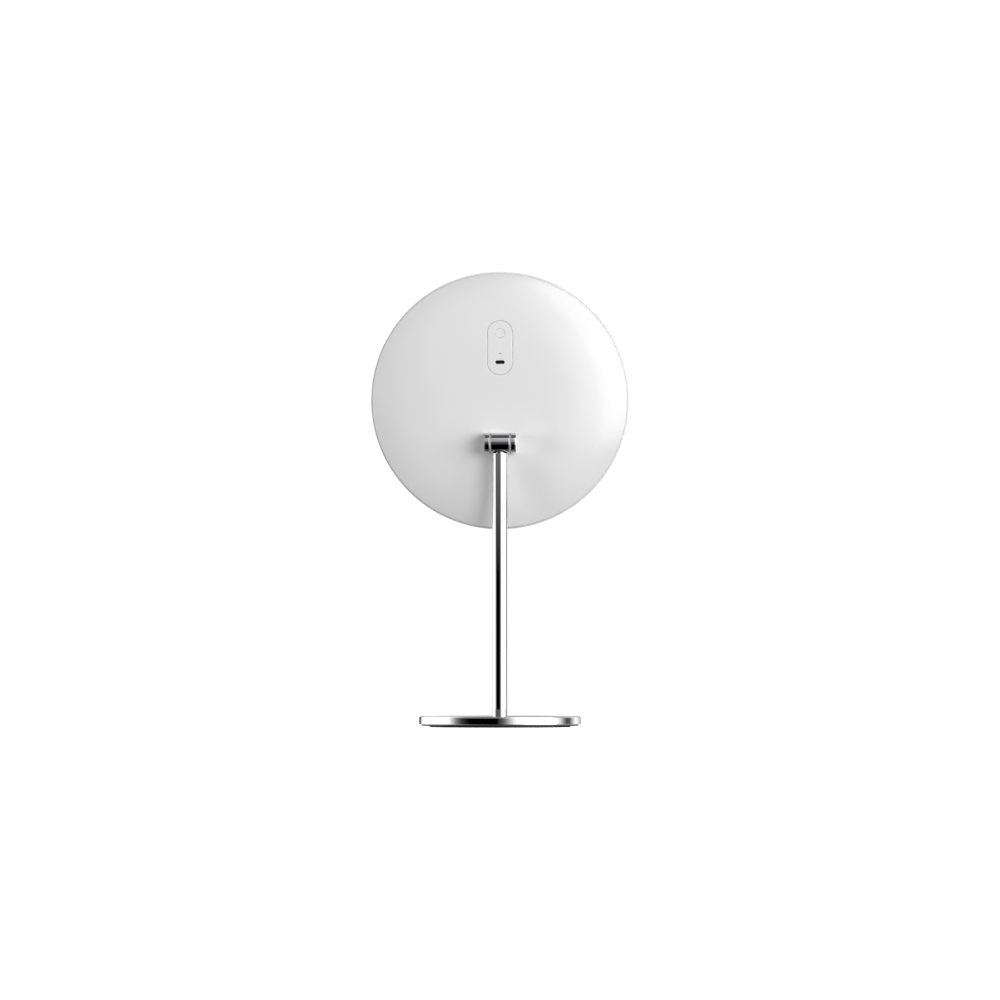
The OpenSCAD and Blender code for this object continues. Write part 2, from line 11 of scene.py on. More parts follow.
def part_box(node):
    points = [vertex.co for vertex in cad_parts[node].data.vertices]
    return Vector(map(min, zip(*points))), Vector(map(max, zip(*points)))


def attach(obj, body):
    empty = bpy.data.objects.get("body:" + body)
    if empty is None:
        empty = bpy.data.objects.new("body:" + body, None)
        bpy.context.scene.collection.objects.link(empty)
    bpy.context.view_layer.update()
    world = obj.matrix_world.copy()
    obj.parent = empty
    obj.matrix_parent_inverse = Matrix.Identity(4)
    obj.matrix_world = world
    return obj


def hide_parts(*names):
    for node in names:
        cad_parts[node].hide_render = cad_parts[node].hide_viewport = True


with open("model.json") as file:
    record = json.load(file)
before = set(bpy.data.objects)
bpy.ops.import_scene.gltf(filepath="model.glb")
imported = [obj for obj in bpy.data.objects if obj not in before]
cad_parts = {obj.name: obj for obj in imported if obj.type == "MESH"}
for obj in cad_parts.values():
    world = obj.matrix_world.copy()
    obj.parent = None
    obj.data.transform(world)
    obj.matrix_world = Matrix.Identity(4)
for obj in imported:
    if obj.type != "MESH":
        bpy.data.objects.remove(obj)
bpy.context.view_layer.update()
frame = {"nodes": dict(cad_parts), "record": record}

bl_info = {
    "name": "Round smart display",
    "version": (1, 0, 0),
    "blender": (4, 5, 0),
    "location": "3D View > Sidebar > Smart display",
    "description": "Builds the pieces, finishes and stage of a round smart display on a tilting stand",
    "category": "Add Mesh",
}

MM = 0.001

# ---- Places and sizes that the frame gives ----

SLOT_OF = {part["node"]: part["material_slot"] for part in frame["record"]["subparts"]}
BODY_OF = {
    node: body
    for body, nodes in frame["record"]["behaviour"]["bodies"].items()
    for node in nodes
}
TILT = Vector(next(
    joint["pos_m"]
    for joint in frame["record"]["behaviour"]["joints"]
    if joint["name"] == "head_tilt"
))


def width(node):
    """Size of a node along X."""
    low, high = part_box(node)
    return high.x - low.x


def tall(node):
    """Size of a node along Z."""
    low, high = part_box(node)
    return high.z - low.z


def middle_height(node):
    """Height of a node's middle over the table."""
    low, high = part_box(node)
    return (low.z + high.z) / 2


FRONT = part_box("front_bezel")[0].y
HEAD_HEIGHT = middle_height("front_bezel")
BARREL_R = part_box("hinge_knuckle")[1].z - TILT.z
SHAFT_HOLE_R = 4.02 * MM

# The head's own axes: X to the right seen from behind, Y up, Z rearwards from the front plane
HEAD = Matrix(((-1, 0, 0, 0), (0, 0, 1, FRONT), (0, 1, 0, HEAD_HEIGHT), (0, 0, 0, 1)))
# The tilt axis' own axes: Z along the axis, X up
HINGE = Matrix(((0, 0, -1, 0), (0, 1, 0, TILT.y), (1, 0, 0, TILT.z), (0, 0, 0, 1)))
STAND = Matrix.Identity(4)


def head_levels(node):
    """Levels of a node's front and rear faces over the head's front plane."""
    return [corner.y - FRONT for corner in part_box(node)]


def head_up(node):
    """Height of a node's middle over the head's middle."""
    return middle_height(node) - HEAD_HEIGHT


def size(name, description, default):
    """A length that a user may change."""
    return FloatProperty(name=name, description=description, default=default, unit="LENGTH",
                         subtype="DISTANCE", precision=5)


def power(name, description, default):
    """The power of a light that a user may change."""
    return FloatProperty(name=name, description=description, default=default, min=0.0, unit="POWER")


def colour(name, description, default):
    """A colour that a user may change."""
    return FloatVectorProperty(name=name, description=description, default=default, subtype="COLOR",
                               size=3, min=0.0, max=1.0)


# ---- What a user may change ----


class HeadSizes(bpy.types.PropertyGroup):
    shell_radius: size("Shell radius", "Outer radius of the rear shell", width("rear_shell") / 2)
    rim_level: size("Rim level", "Level at which the rear dome meets its rim", 9.5 * MM)
    dome_rise: size("Dome rise", "Rise of the rear dome over its rim", 19.5 * MM)
    shell_wall: size("Shell wall", "Wall of the rear shell", 2.6 * MM)
    rim_round: size("Rim rounding", "Rounding where the dome meets the rim", 1.4 * MM)
    bump_rise: size("Bump rise", "Rise of the low bump that the hinge stands on", 1.2 * MM)
    bump_reach: size("Bump reach", "Distance over which the bump fades into the dome", 34 * MM)


class PanelSizes(bpy.types.PropertyGroup):
    gap: size("Panel gap", "Gap round the control panel", 0.3 * MM)
    edge: size("Panel edge", "Rounding of the control panel's edges", 0.28 * MM)
    button_radius: size("Button radius", "Radius of the power button", width("power_button") / 2 - 1.2 * MM)
    button_gap: size("Button gap", "Gap round the power button", 0.12 * MM)
    dish: size("Button dish", "Depth of the hollow in the power button", 0.2 * MM)
    thickness: size("Panel thickness", "Thickness of the control panel", 1.7 * MM)


class HingeSizes(bpy.types.PropertyGroup):
    edge: size("Hinge edge", "Rounding of the hinge pieces' edges", 0.45 * MM)
    seat_gap: size("Seat gap", "Clear distance between the barrel and the yoke's bridge", 0.65 * MM)


class StandSizes(bpy.types.PropertyGroup):
    pole_wall: size("Pole wall", "Wall of the pole", 1.2 * MM)
    cover_edge: size("Base edge", "Rounding of the base cover's upper edge", 1.6 * MM)
    cover_wall: size("Base wall", "Wall of the base cover", 1.5 * MM)
    grooves: IntProperty(name="Pad grooves", description="Number of grooves under the foot pad",
                         default=5, min=1)


class FrontSizes(bpy.types.PropertyGroup):
    glass_bevel: size("Glass bevel", "Width of the polished bevel round the mirror glass", 1 * MM)
    bezel_edge: size("Bezel edge", "Rounding of the bezel's outer edge", 1.2 * MM)
    led_count: IntProperty(name="Diodes", description="Number of diodes in the light ring", default=60, min=1)


class Finishes(bpy.types.PropertyGroup):
    shell: colour("Shell", "Colour of the white mouldings", (0.86, 0.86, 0.865))
    chrome: colour("Chrome", "Tint of the polished plating", (0.62, 0.62, 0.63))
    plate: colour("Base plate", "Colour of the plate under the base", (0.02, 0.02, 0.022))
    pad: colour("Foot pad", "Colour of the rubber foot pad", (0.015, 0.015, 0.016))
    mirror: colour("Mirror", "Tint of the half-silvered glass", (0.62, 0.64, 0.66))
    opal: colour("Light ring", "Colour of the frosted light ring", (0.9, 0.9, 0.88))


class StageSettings(bpy.types.PropertyGroup):
    floor_radius: size("Floor radius", "Radius of the pale floor", 1.4)
    camera_distance: size("Camera distance", "Distance of the camera behind the object", 26.0)
    frame_height: size("Frame height", "Height of the picture at the object", 0.9845)
    picture_middle: size("Picture middle", "Height of the picture's middle over the table", 0.2239)
    key_power: power("Key light", "Power of the large light behind, to the right", 42.0)
    edge_power: power("Edge light", "Power of the light at the far right", 20.0)
    side_power: power("Side light", "Power of the light behind, to the left", 22.0)
    front_power: power("Front light", "Power of the light on the display side", 72.0)
    ambient: FloatProperty(name="Ambient", description="Brightness of the room's scattered light",
                           default=0.275, min=0.0)


# ---- Node trees ----


class Wiring:
    """Adds and joins the nodes of one tree."""

    def __init__(self, tree):
        self.tree = tree

    def add(self, kind, inputs=None, **settings):
        node = self.tree.nodes.new(kind)
        for name, value in settings.items():
            setattr(node, name, value)
        for name, value in (inputs or {}).items():
            if isinstance(value, bpy.types.NodeSocket):
                self.tree.links.new(value, node.inputs[name])
            else:
                node.inputs[name].default_value = value
        return node

    def math(self, operation, first, second=0.0, third=0.0):
        values = {0: first, 1: second, 2: third}
        return self.add("ShaderNodeMath", values, operation=operation).outputs[0]

    def ramp(self, value, stops):
        """Greys that change along the value, as (place, grey) stops."""
        node = self.add("ShaderNodeValToRGB", {"Fac": value})
        elements = node.color_ramp.elements
        while len(elements) < len(stops):
            elements.new(0.5)
        for element, (place, grey) in zip(elements, stops):
            element.position = place
            element.color = (grey, grey, grey, 1.0)
        return node.outputs["Color"]

    def remap(self, value, low, high, to_low, to_high):
        values = {"Value": value, "From Min": low, "From Max": high, "To Min": to_low, "To Max": to_high}
        return self.add("ShaderNodeMapRange", values).outputs["Result"]


def geometry_tree(name, inputs):
    """An empty geometry tree with named inputs, as pairs of a label and a socket kind."""
    tree = bpy.data.node_groups.new(name, "GeometryNodeTree")
    tree.interface.new_socket("Geometry", in_out="INPUT", socket_type="NodeSocketGeometry")
    for label, kind in inputs:
        tree.interface.new_socket(label, in_out="INPUT", socket_type="NodeSocket" + kind)
    tree.interface.new_socket("Geometry", in_out="OUTPUT", socket_type="NodeSocketGeometry")
    wiring = Wiring(tree)
    return wiring, wiring.add("NodeGroupInput").outputs


def close_tree(wiring, geometry, material):
    """Ends a geometry tree in plain, painted geometry."""
    real = wiring.add("GeometryNodeRealizeInstances", {"Geometry": geometry}).outputs["Geometry"]
    painted = wiring.add("GeometryNodeSetMaterial", {"Geometry": real, "Material": material})
    wiring.add("NodeGroupOutput", {"Geometry": painted.outputs["Geometry"]})
    return wiring.tree


def dome_tree():
    """Lays a flat piece on the rear dome and the hinge bump, by its points' lift."""
    wiring, given = geometry_tree("lay_on_dome", (
        ("Shell Radius", "Float"),
        ("Rim Level", "Float"),
        ("Dome Rise", "Float"),
        ("Bump Rise", "Float"),
        ("Bump Reach", "Float"),
        ("Hinge Drop", "Float"),
        ("Seat Width", "Float"),
        ("Seat Height", "Float"),
        ("Material", "Material"),
    ))
    math_node = wiring.math
    place = wiring.add("GeometryNodeInputPosition").outputs["Position"]
    x, y, _ = wiring.add("ShaderNodeSeparateXYZ", {"Vector": place}).outputs
    lift = wiring.add("GeometryNodeInputNamedAttribute", {"Name": "lift"}, data_type="FLOAT")

    def square(value):
        return math_node("MULTIPLY", value, value)

    def beyond(value, whole):
        """Distance past the edge of a span that is centred on zero."""
        over = math_node("SUBTRACT", math_node("ABSOLUTE", value), math_node("DIVIDE", whole, 2.0))
        return math_node("MAXIMUM", over, 0.0)

    share = math_node("DIVIDE", math_node("ADD", square(x), square(y)), square(given["Shell Radius"]))
    fall = math_node("SUBTRACT", 1.0, square(share))
    dome = math_node("MULTIPLY_ADD", given["Dome Rise"], fall, given["Rim Level"])

    across = beyond(x, given["Seat Width"])
    along = beyond(math_node("ADD", y, given["Hinge Drop"]), given["Seat Height"])
    apart = math_node("ADD", square(across), square(along))
    far = math_node("MINIMUM", math_node("DIVIDE", apart, square(given["Bump Reach"])), 1.0)
    bump = math_node("MULTIPLY", given["Bump Rise"], square(math_node("SUBTRACT", 1.0, far)))

    rise = math_node("MULTIPLY", math_node("ADD", dome, bump), lift.outputs["Attribute"])
    offset = wiring.add("ShaderNodeCombineXYZ", {"Z": rise}).outputs["Vector"]
    moved = wiring.add("GeometryNodeSetPosition", {"Geometry": given["Geometry"], "Offset": offset})
    return close_tree(wiring, moved.outputs["Geometry"], given["Material"])


def ring_tree():
    """Repeats a piece round a circle, each copy turned with the circle."""
    wiring, given = geometry_tree("repeat_round_circle", (
        ("Piece", "Object"),
        ("Count", "Int"),
        ("Radius", "Float"),
        ("Start Angle", "Float"),
        ("Level", "Float"),
        ("Material", "Material"),
    ))
    circle = wiring.add("GeometryNodeMeshCircle", {"Vertices": given["Count"], "Radius": given["Radius"]})
    turn = wiring.add("ShaderNodeCombineXYZ", {"Z": given["Start Angle"]}).outputs["Vector"]
    raised = wiring.add("ShaderNodeCombineXYZ", {"Z": given["Level"]}).outputs["Vector"]
    placed = wiring.add("GeometryNodeTransform", {
        "Geometry": circle.outputs["Mesh"], "Rotation": turn, "Translation": raised})
    place = wiring.add("GeometryNodeInputPosition").outputs["Position"]
    x, y, _ = wiring.add("ShaderNodeSeparateXYZ", {"Vector": place}).outputs
    facing = wiring.add("ShaderNodeCombineXYZ", {"Z": wiring.math("ARCTAN2", y, x)}).outputs["Vector"]
    piece = wiring.add("GeometryNodeObjectInfo", {"Object": given["Piece"]}).outputs["Geometry"]
    copies = wiring.add("GeometryNodeInstanceOnPoints", {
        "Points": placed.outputs["Geometry"], "Instance": piece, "Rotation": facing})
    return close_tree(wiring, copies.outputs["Instances"], given["Material"])


# ---- Meshes ----

# An edge between faces that turn by more than this stays sharp
SHARP_ANGLE = math.radians(32)
# A turned point with a smaller radius lies on the axis
ON_AXIS = 1e-4 * MM
# Points of an outline that are closer than this are one point
SAME_POINT = 0.001 * MM
# Where a rounded edge on the dome gets its rows of points, as shares of the edge's width
EDGE_SHARES = (0.0, 0.12, 0.4, 1.0)


def mesh_of(name, bm):
    """A mesh made of a bmesh, which is used up."""
    mesh = bpy.data.meshes.new(name)
    bm.to_mesh(mesh)
    bm.free()
    return mesh


def linked(name, contents):
    """A new object in the scene that holds a mesh, a light or a camera."""
    made = bpy.data.objects.new(name, contents)
    bpy.context.scene.collection.objects.link(made)
    return made


def scratch_object(bm):
    """An object that holds a bmesh for a modifier's sake; the bmesh is used up."""
    return linked("scratch", mesh_of("scratch", bm))


def discard(made):
    """Removes a scratch object and its mesh."""
    mesh = made.data
    bpy.data.objects.remove(made)
    bpy.data.meshes.remove(mesh)


def plain_result(made):
    """What an object's modifiers make of it, as a bmesh."""
    graph = bpy.context.evaluated_depsgraph_get()
    mesh = bpy.data.meshes.new_from_object(made.evaluated_get(graph))
    result = bmesh.new()
    result.from_mesh(mesh)
    bpy.data.meshes.remove(mesh)
    return result


def run_tree(tree, values, bm=None):
    """Runs a geometry tree on a scratch mesh and returns its plain result."""
    made = scratch_object(bm or bmesh.new())
    modifier = made.modifiers.new(tree.name, "NODES")
    modifier.node_group = tree
    for item in tree.interface.items_tree:
        if item.in_out == "INPUT" and item.name in values:
            modifier[item.identifier] = values[item.name]
    result = plain_result(made)
    made.modifiers.remove(modifier)
    discard(made)
    return result


def combined(first, second, operation):
    """Joins, cuts or intersects two closed shapes; both are used up."""
    made = scratch_object(first)
    tool = scratch_object(second)
    modifier = made.modifiers.new("combine", "BOOLEAN")
    modifier.operation = operation
    modifier.solver = "EXACT"
    modifier.object = tool
    result = plain_result(made)
    made.modifiers.remove(modifier)
    discard(made)
    discard(tool)
    return result


def closed_up(bm):
    """Merges a mesh's doubles and turns its faces outwards."""
    bmesh.ops.remove_doubles(bm, verts=bm.verts, dist=SAME_POINT)
    bmesh.ops.recalc_face_normals(bm, faces=bm.faces)
    return bm


def add_piece(name, bm, place, stands_for, flat_faces=True):
    """Puts a finished mesh in its place, paints it and makes it ride for the CAD node that it replaces."""
    closed_up(bm)
    bm.transform(place)
    mesh = mesh_of(name, bm)
    mesh.shade_smooth()
    mesh.set_sharp_from_angle(angle=SHARP_ANGLE)
    made = linked(name, mesh)
    if flat_faces:
        modifier = made.modifiers.new("even_shading", "WEIGHTED_NORMAL")
        modifier.keep_sharp = True
    mesh.materials.append(finish_for(stands_for))
    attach(made, BODY_OF[stands_for])
    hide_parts(stands_for)
    return made


def rounded(corners, steps=5, closed=True):
    """An outline through (x, y, rounding) corners."""
    outline = []
    for i, (x, y, radius) in enumerate(corners):
        here = Vector((x, y))
        if radius == 0 or (not closed and i in (0, len(corners) - 1)):
            outline.append(here)
            continue
        before = (Vector(corners[i - 1][:2]) - here).normalized()
        after = (Vector(corners[(i + 1) % len(corners)][:2]) - here).normalized()
        half = before.angle(after) / 2
        centre = here + (before + after).normalized() * radius / math.sin(half)
        start = here + before * radius / math.tan(half) - centre
        end = here + after * radius / math.tan(half) - centre
        sweep = start.angle(end)
        for step in range(steps + 1):
            share = step / steps
            turned_by = start * math.sin((1 - share) * sweep) + end * math.sin(share * sweep)
            outline.append(centre + turned_by / math.sin(sweep))
    return outline


def round_points(count, radius=1.0):
    """Points round a circle, counted from its X axis."""
    angles = [2 * math.pi * i / count for i in range(count)]
    return [(radius * math.cos(angle), radius * math.sin(angle)) for angle in angles]


def bridge(bm, low, high):
    """Faces between two rings of points; a ring may be one point."""
    count = max(len(low), len(high))
    for i in range(count):
        j = (i + 1) % count
        corners = [low[i % len(low)], low[j % len(low)], high[j % len(high)], high[i % len(high)]]
        bm.faces.new(list(dict.fromkeys(corners)))


def stacked(stations, closed, lifts=None):
    """A mesh through rings of points, with how far each ring is laid on the dome."""
    bm = bmesh.new()
    lift = bm.verts.layers.float.new("lift") if lifts else None
    rings = []
    for index, points in enumerate(stations):
        ring = [bm.verts.new(point) for point in points]
        for vert in ring if lifts else ():
            vert[lift] = lifts[index]
        rings.append(ring)
    for low, high in zip(rings, rings[1:]):
        bridge(bm, low, high)
    if closed:
        bridge(bm, rings[-1], rings[0])
    return bm


def turned(profile, segments, closed=True, lifts=None):
    """Turns a (radius, level) profile round Z."""
    stations = []
    for radius, level in profile:
        points = [(0, 0)] if radius < ON_AXIS else round_points(segments, radius)
        stations.append([(x, y, level) for x, y in points])
    return stacked(stations, closed, lifts)


def prism(outline, length):
    """Extrudes a closed outline along Z, centred on zero."""
    bm = bmesh.new()
    low, high = ([bm.verts.new((x, y, end)) for x, y in outline] for end in (-length / 2, length / 2))
    bm.faces.new(list(reversed(low)))
    bm.faces.new(high)
    bridge(bm, low, high)
    return bm


def round_edges(bm, radius, steps=3, angle=40.0):
    """Rounds a mesh's sharp edges."""
    limit = math.radians(angle)
    edges = [edge for edge in bm.edges if len(edge.link_faces) == 2 and edge.calc_face_angle() > limit]
    bmesh.ops.bevel(bm, geom=edges, offset=radius, segments=steps, profile=0.5, affect="EDGES",
                    clamp_overlap=True)


def block(x0, x1, y0, y1, z0, z1):
    """A plain block, for cutting and joining."""
    bm = prism([(x0, y0), (x1, y0), (x1, y1), (x0, y1)], z1 - z0)
    bmesh.ops.translate(bm, verts=bm.verts, vec=(0, 0, (z0 + z1) / 2))
    return bm


class Slot:
    """A rounded opening or outline: a core span that a radius is drawn round."""

    def __init__(self, middle, radius, half_width=0.0, half_height=0.0):
        self.middle = middle
        self.radius = radius
        self.half_width = half_width
        self.half_height = half_height

    def apart(self, point):
        """Distance of a point from the outline, negative inside."""
        across = max(abs(point[0]) - self.half_width, 0)
        along = max(abs(point[1] - self.middle) - self.half_height, 0)
        return math.hypot(across, along) - self.radius

    def outline(self, offset):
        """Points along the outline, moved outwards by an offset."""
        points, steps, reach = [], 24, self.radius + offset
        for turn, (side_x, side_y) in enumerate(((1, 1), (-1, 1), (-1, -1), (1, -1))):
            for step in range(steps + 1):
                angle = (turn + step / steps) * math.pi / 2
                point = (
                    side_x * self.half_width + reach * math.cos(angle),
                    self.middle + side_y * self.half_height + reach * math.sin(angle),
                )
                if not points or math.dist(point, points[-1]) > SAME_POINT:
                    points.append(point)
        if math.dist(points[0], points[-1]) < SAME_POINT:
            points.pop()
        return points


def edge_drop(distance, radius):
    """How far a rounded edge falls at a distance from the outline."""
    inwards = max(radius - max(distance, 0), 0)
    return radius - math.sqrt(radius * radius - inwards * inwards)


def plate(body, openings, thickness, edge, spacing):
    """A flat plate with openings and a rounded upper edge, to be laid on the dome."""
    shapes = [(body, -1)] + [(opening, 1) for opening in openings]
    flat, borders = [], []
    for shape, way in shapes:
        for share in EDGE_SHARES:
            loop = shape.outline(way * share * edge)
            borders += [(len(flat) + i, len(flat) + (i + 1) % len(loop)) for i in range(len(loop))]
            flat += loop

    def inside(point):
        return min(way * shape.apart(point) for shape, way in shapes)

    columns = int((body.half_width + body.radius) / spacing)
    rows = int((body.half_height + body.radius) / spacing)
    for column in range(-columns, columns + 1):
        for row in range(-rows, rows + 1):
            point = (column * spacing, body.middle + row * spacing)
            if inside(point) > edge + spacing / 2:
                flat.append(point)
    points, _, faces, *_ = delaunay_2d_cdt([Vector(p) / MM for p in flat], borders, [], 0, 1e-5)
    points = [point * MM for point in points]

    bm = bmesh.new()
    lift = bm.verts.layers.float.new("lift")
    upper, lower = [], []
    for point in points:
        upper.append(bm.verts.new((point.x, point.y, -edge_drop(inside(point), edge))))
        lower.append(bm.verts.new((point.x, point.y, -thickness)))
    for vert in bm.verts:
        vert[lift] = 1.0
    for face in faces:
        if inside(sum((points[i] for i in face), Vector((0, 0))) / len(face)) > 0:
            bm.faces.new([upper[i] for i in face])
            bm.faces.new([lower[i] for i in reversed(face)])
    index_of = {vert: i for i, vert in enumerate(upper)}
    rims = [edge for edge in bm.edges if len(edge.link_faces) == 1 and edge.verts[0] in index_of]
    for rim in rims:
        first, second = (index_of[vert] for vert in rim.verts)
        bm.faces.new((upper[first], lower[first], lower[second], upper[second]))
    loose = [vert for vert in bm.verts if not vert.link_faces]
    bmesh.ops.delete(bm, geom=loose, context="VERTS")
    return bm


# ---- Finishes ----


class Surface(Wiring):
    """A material with one shader, patterned on the piece's own coordinates."""

    def __init__(self, name, base, roughness, **sockets):
        self.name = name
        self.material = bpy.data.materials.new(name + "_finish")
        self.material.use_nodes = True
        self.material.node_tree.nodes.clear()
        super().__init__(self.material.node_tree)
        self.base = base
        settings = {"Roughness": roughness, "Base Color": (*base, 1.0)}
        settings.update({key.replace("_", " ").title(): value for key, value in sockets.items()})
        if "Ior" in settings:
            settings["IOR"] = settings.pop("Ior")
        self.shader = self.add("ShaderNodeBsdfPrincipled", settings)
        self.add("ShaderNodeOutputMaterial", {"Surface": self.shader.outputs["BSDF"]})
        self.place = self.add("ShaderNodeTexCoord").outputs["Object"]
        self.material.diffuse_color = (*base, 1.0)

    def stretched(self, scale):
        return self.add("ShaderNodeMapping", {"Vector": self.place, "Scale": scale}).outputs["Vector"]

    def noise(self, scale, detail=3.0, stretch=(1, 1, 1)):
        values = {"Vector": self.stretched(stretch), "Scale": scale, "Detail": detail}
        return self.add("ShaderNodeTexNoise", values).outputs["Fac"]

    def cells(self, scale, output="Distance"):
        return self.add("ShaderNodeTexVoronoi", {"Vector": self.place, "Scale": scale}).outputs[output]

    def bricks(self, settings, stretch=(1, 1, 1)):
        values = {"Vector": self.stretched(stretch), **settings}
        return self.add("ShaderNodeTexBrick", values).outputs["Color"]

    def tint(self, pattern, amount, other=None):
        """Lets the colour wander between two close shades, or towards another colour."""
        dark = tuple(part * (1 - amount) for part in self.base) if other is None else other
        light = tuple(min(part * (1 + amount), 1) for part in self.base) if other is None else self.base
        mix = self.add("ShaderNodeMix", data_type="RGBA")
        self.tree.links.new(pattern, mix.inputs[0])
        mix.inputs[6].default_value = (*dark, 1)
        mix.inputs[7].default_value = (*light, 1)
        self.tree.links.new(mix.outputs[2], self.shader.inputs["Base Color"])
        return self

    def gloss(self, pattern, low, high):
        """Lets the roughness wander between two values."""
        self.tree.links.new(self.remap(pattern, 0.3, 0.7, low, high), self.shader.inputs["Roughness"])
        return self

    def relief(self, pattern, depth):
        """Lets the surface rise and fall with the pattern."""
        bump = self.add("ShaderNodeBump", {"Height": pattern, "Distance": depth, "Strength": 1.0})
        self.tree.links.new(bump.outputs["Normal"], self.shader.inputs["Normal"])
        return self


def moulded(name, base, roughness, grain=0.001 * MM, **sockets):
    """Moulded plastic: faint flow marks, an uneven satin and a fine tool grain."""
    surface = Surface(name, base, roughness, **sockets)
    surface.tint(surface.noise(22, 2), 0.012)
    surface.gloss(surface.noise(160, 4), roughness - 0.02, roughness + 0.03)
    return surface.relief(surface.noise(2600, 2), grain)


def plated(name, base):
    """Mirror chrome with the slightest haze and orange peel."""
    surface = Surface(name, base, 0.03, metallic=1.0)
    surface.tint(surface.noise(30, 2), 0.01)
    surface.gloss(surface.noise(90, 5), 0.012, 0.05)
    return surface.relief(surface.noise(240, 1), 0.0006 * MM)


def machined(name, base, roughness, stretch=(1, 1, 18)):
    """Worked metal with fine tool lines."""
    surface = Surface(name, base, roughness, metallic=1.0)
    lines = surface.noise(420, 3, stretch)
    surface.tint(lines, 0.08)
    surface.gloss(lines, roughness - 0.07, roughness + 0.1)
    return surface.relief(lines, 0.01 * MM)


def galvanised(name, base):
    """Zinc with its flower pattern."""
    surface = Surface(name, base, 0.38, metallic=1.0)
    surface.tint(surface.cells(170, "Color"), 0.12)
    surface.gloss(surface.noise(200, 4), 0.3, 0.48)
    return surface.relief(surface.cells(170), 0.004 * MM)


def coated(name, base, roughness, scale, depth):
    """Powder coat, rubber or foam: a matt surface with a fine pebble."""
    surface = Surface(name, base, roughness)
    surface.tint(surface.noise(60, 4), 0.2)
    surface.gloss(surface.noise(700, 3), roughness - 0.08, roughness + 0.06)
    return surface.relief(surface.noise(scale, 3), depth)


def circuit(name, mask, copper):
    """Solder mask with straight tracks under it."""
    surface = Surface(name, mask, 0.4, coat_weight=0.4, coat_roughness=0.25)
    tracks = surface.bricks({
        "Scale": 260.0, "Mortar Size": 0.12, "Mortar Smooth": 0.4,
        "Color1": (1, 1, 1, 1), "Color2": (0.85, 0.85, 0.85, 1), "Mortar": (0, 0, 0, 1)})
    surface.tint(tracks, 0.0, copper)
    surface.gloss(surface.noise(500, 3), 0.33, 0.48)
    return surface.relief(tracks, 0.02 * MM)


def speckled(name, base, roughness, amount=0.35):
    """Moulding compound or phosphor with a fine filler."""
    surface = Surface(name, base, roughness)
    surface.tint(surface.noise(3200, 2), amount)
    surface.gloss(surface.noise(900, 3), roughness - 0.06, roughness + 0.08)
    return surface.relief(surface.noise(3200, 2), 0.01 * MM)


def crinkled(name, base):
    """Laminate foil with soft crinkles."""
    surface = Surface(name, base, 0.32, metallic=0.85)
    surface.tint(surface.noise(45, 4), 0.06)
    surface.gloss(surface.noise(120, 4), 0.24, 0.42)
    return surface.relief(surface.noise(85, 5), 0.25 * MM)


def film(name, base, stripe):
    """Flexible film with the tracks of a flat cable."""
    surface = Surface(name, base, 0.25, coat_weight=0.6, coat_roughness=0.1)
    waves = surface.add("ShaderNodeTexWave", {"Vector": surface.place, "Scale": 320.0, "Distortion": 0.0},
                        wave_type="BANDS", bands_direction="X").outputs["Color"]
    surface.tint(waves, 0.0, stripe)
    surface.gloss(surface.noise(300, 3), 0.2, 0.32)
    return surface.relief(waves, 0.03 * MM)


def half_silvered(name, base):
    """Mirror glass over a dark screen, whose outline shows through faintly."""
    surface = Surface(name, base, 0.02, metallic=1.0, coat_weight=1.0, coat_roughness=0.0)
    low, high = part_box("display_panel")
    x, _, z = surface.add("ShaderNodeSeparateXYZ", {"Vector": surface.place}).outputs
    aside = surface.math("SUBTRACT", surface.math("ABSOLUTE", x), high.x)
    off_middle = surface.math("ABSOLUTE", surface.math("SUBTRACT", z, HEAD_HEIGHT))
    above = surface.math("SUBTRACT", off_middle, (high.z - low.z) / 2)
    blur, screen_shade = 0.6 * MM, 0.93
    edge = surface.remap(surface.math("MAXIMUM", aside, above), -blur, blur, 0.0, 1.0)
    surface.tint(edge, 0.0, tuple(part * screen_shade for part in base))
    surface.gloss(surface.noise(40, 5), 0.01, 0.035)
    return surface.relief(surface.noise(12, 1), 0.0005 * MM)


def opal(name, base):
    """Frosted opal plastic that scatters light inside."""
    surface = Surface(name, base, 0.55, subsurface_weight=0.35, subsurface_scale=2 * MM)
    surface.tint(surface.noise(50, 2), 0.01)
    surface.gloss(surface.noise(900, 3), 0.48, 0.62)
    return surface.relief(surface.noise(2200, 3), 0.01 * MM)


def clear_touch(name, base):
    """Coated sensor glass with its faint grid."""
    surface = Surface(name, base, 0.08, coat_weight=0.8, coat_roughness=0.03)
    grid = surface.bricks({
        "Scale": 200.0, "Mortar Size": 0.03,
        "Color1": (1, 1, 1, 1), "Color2": (1, 1, 1, 1), "Mortar": (0.3, 0.3, 0.3, 1)}, (1, 0, 1))
    surface.tint(grid, 0.0, tuple(part * 0.6 for part in base))
    return surface.gloss(surface.noise(200, 3), 0.06, 0.14)


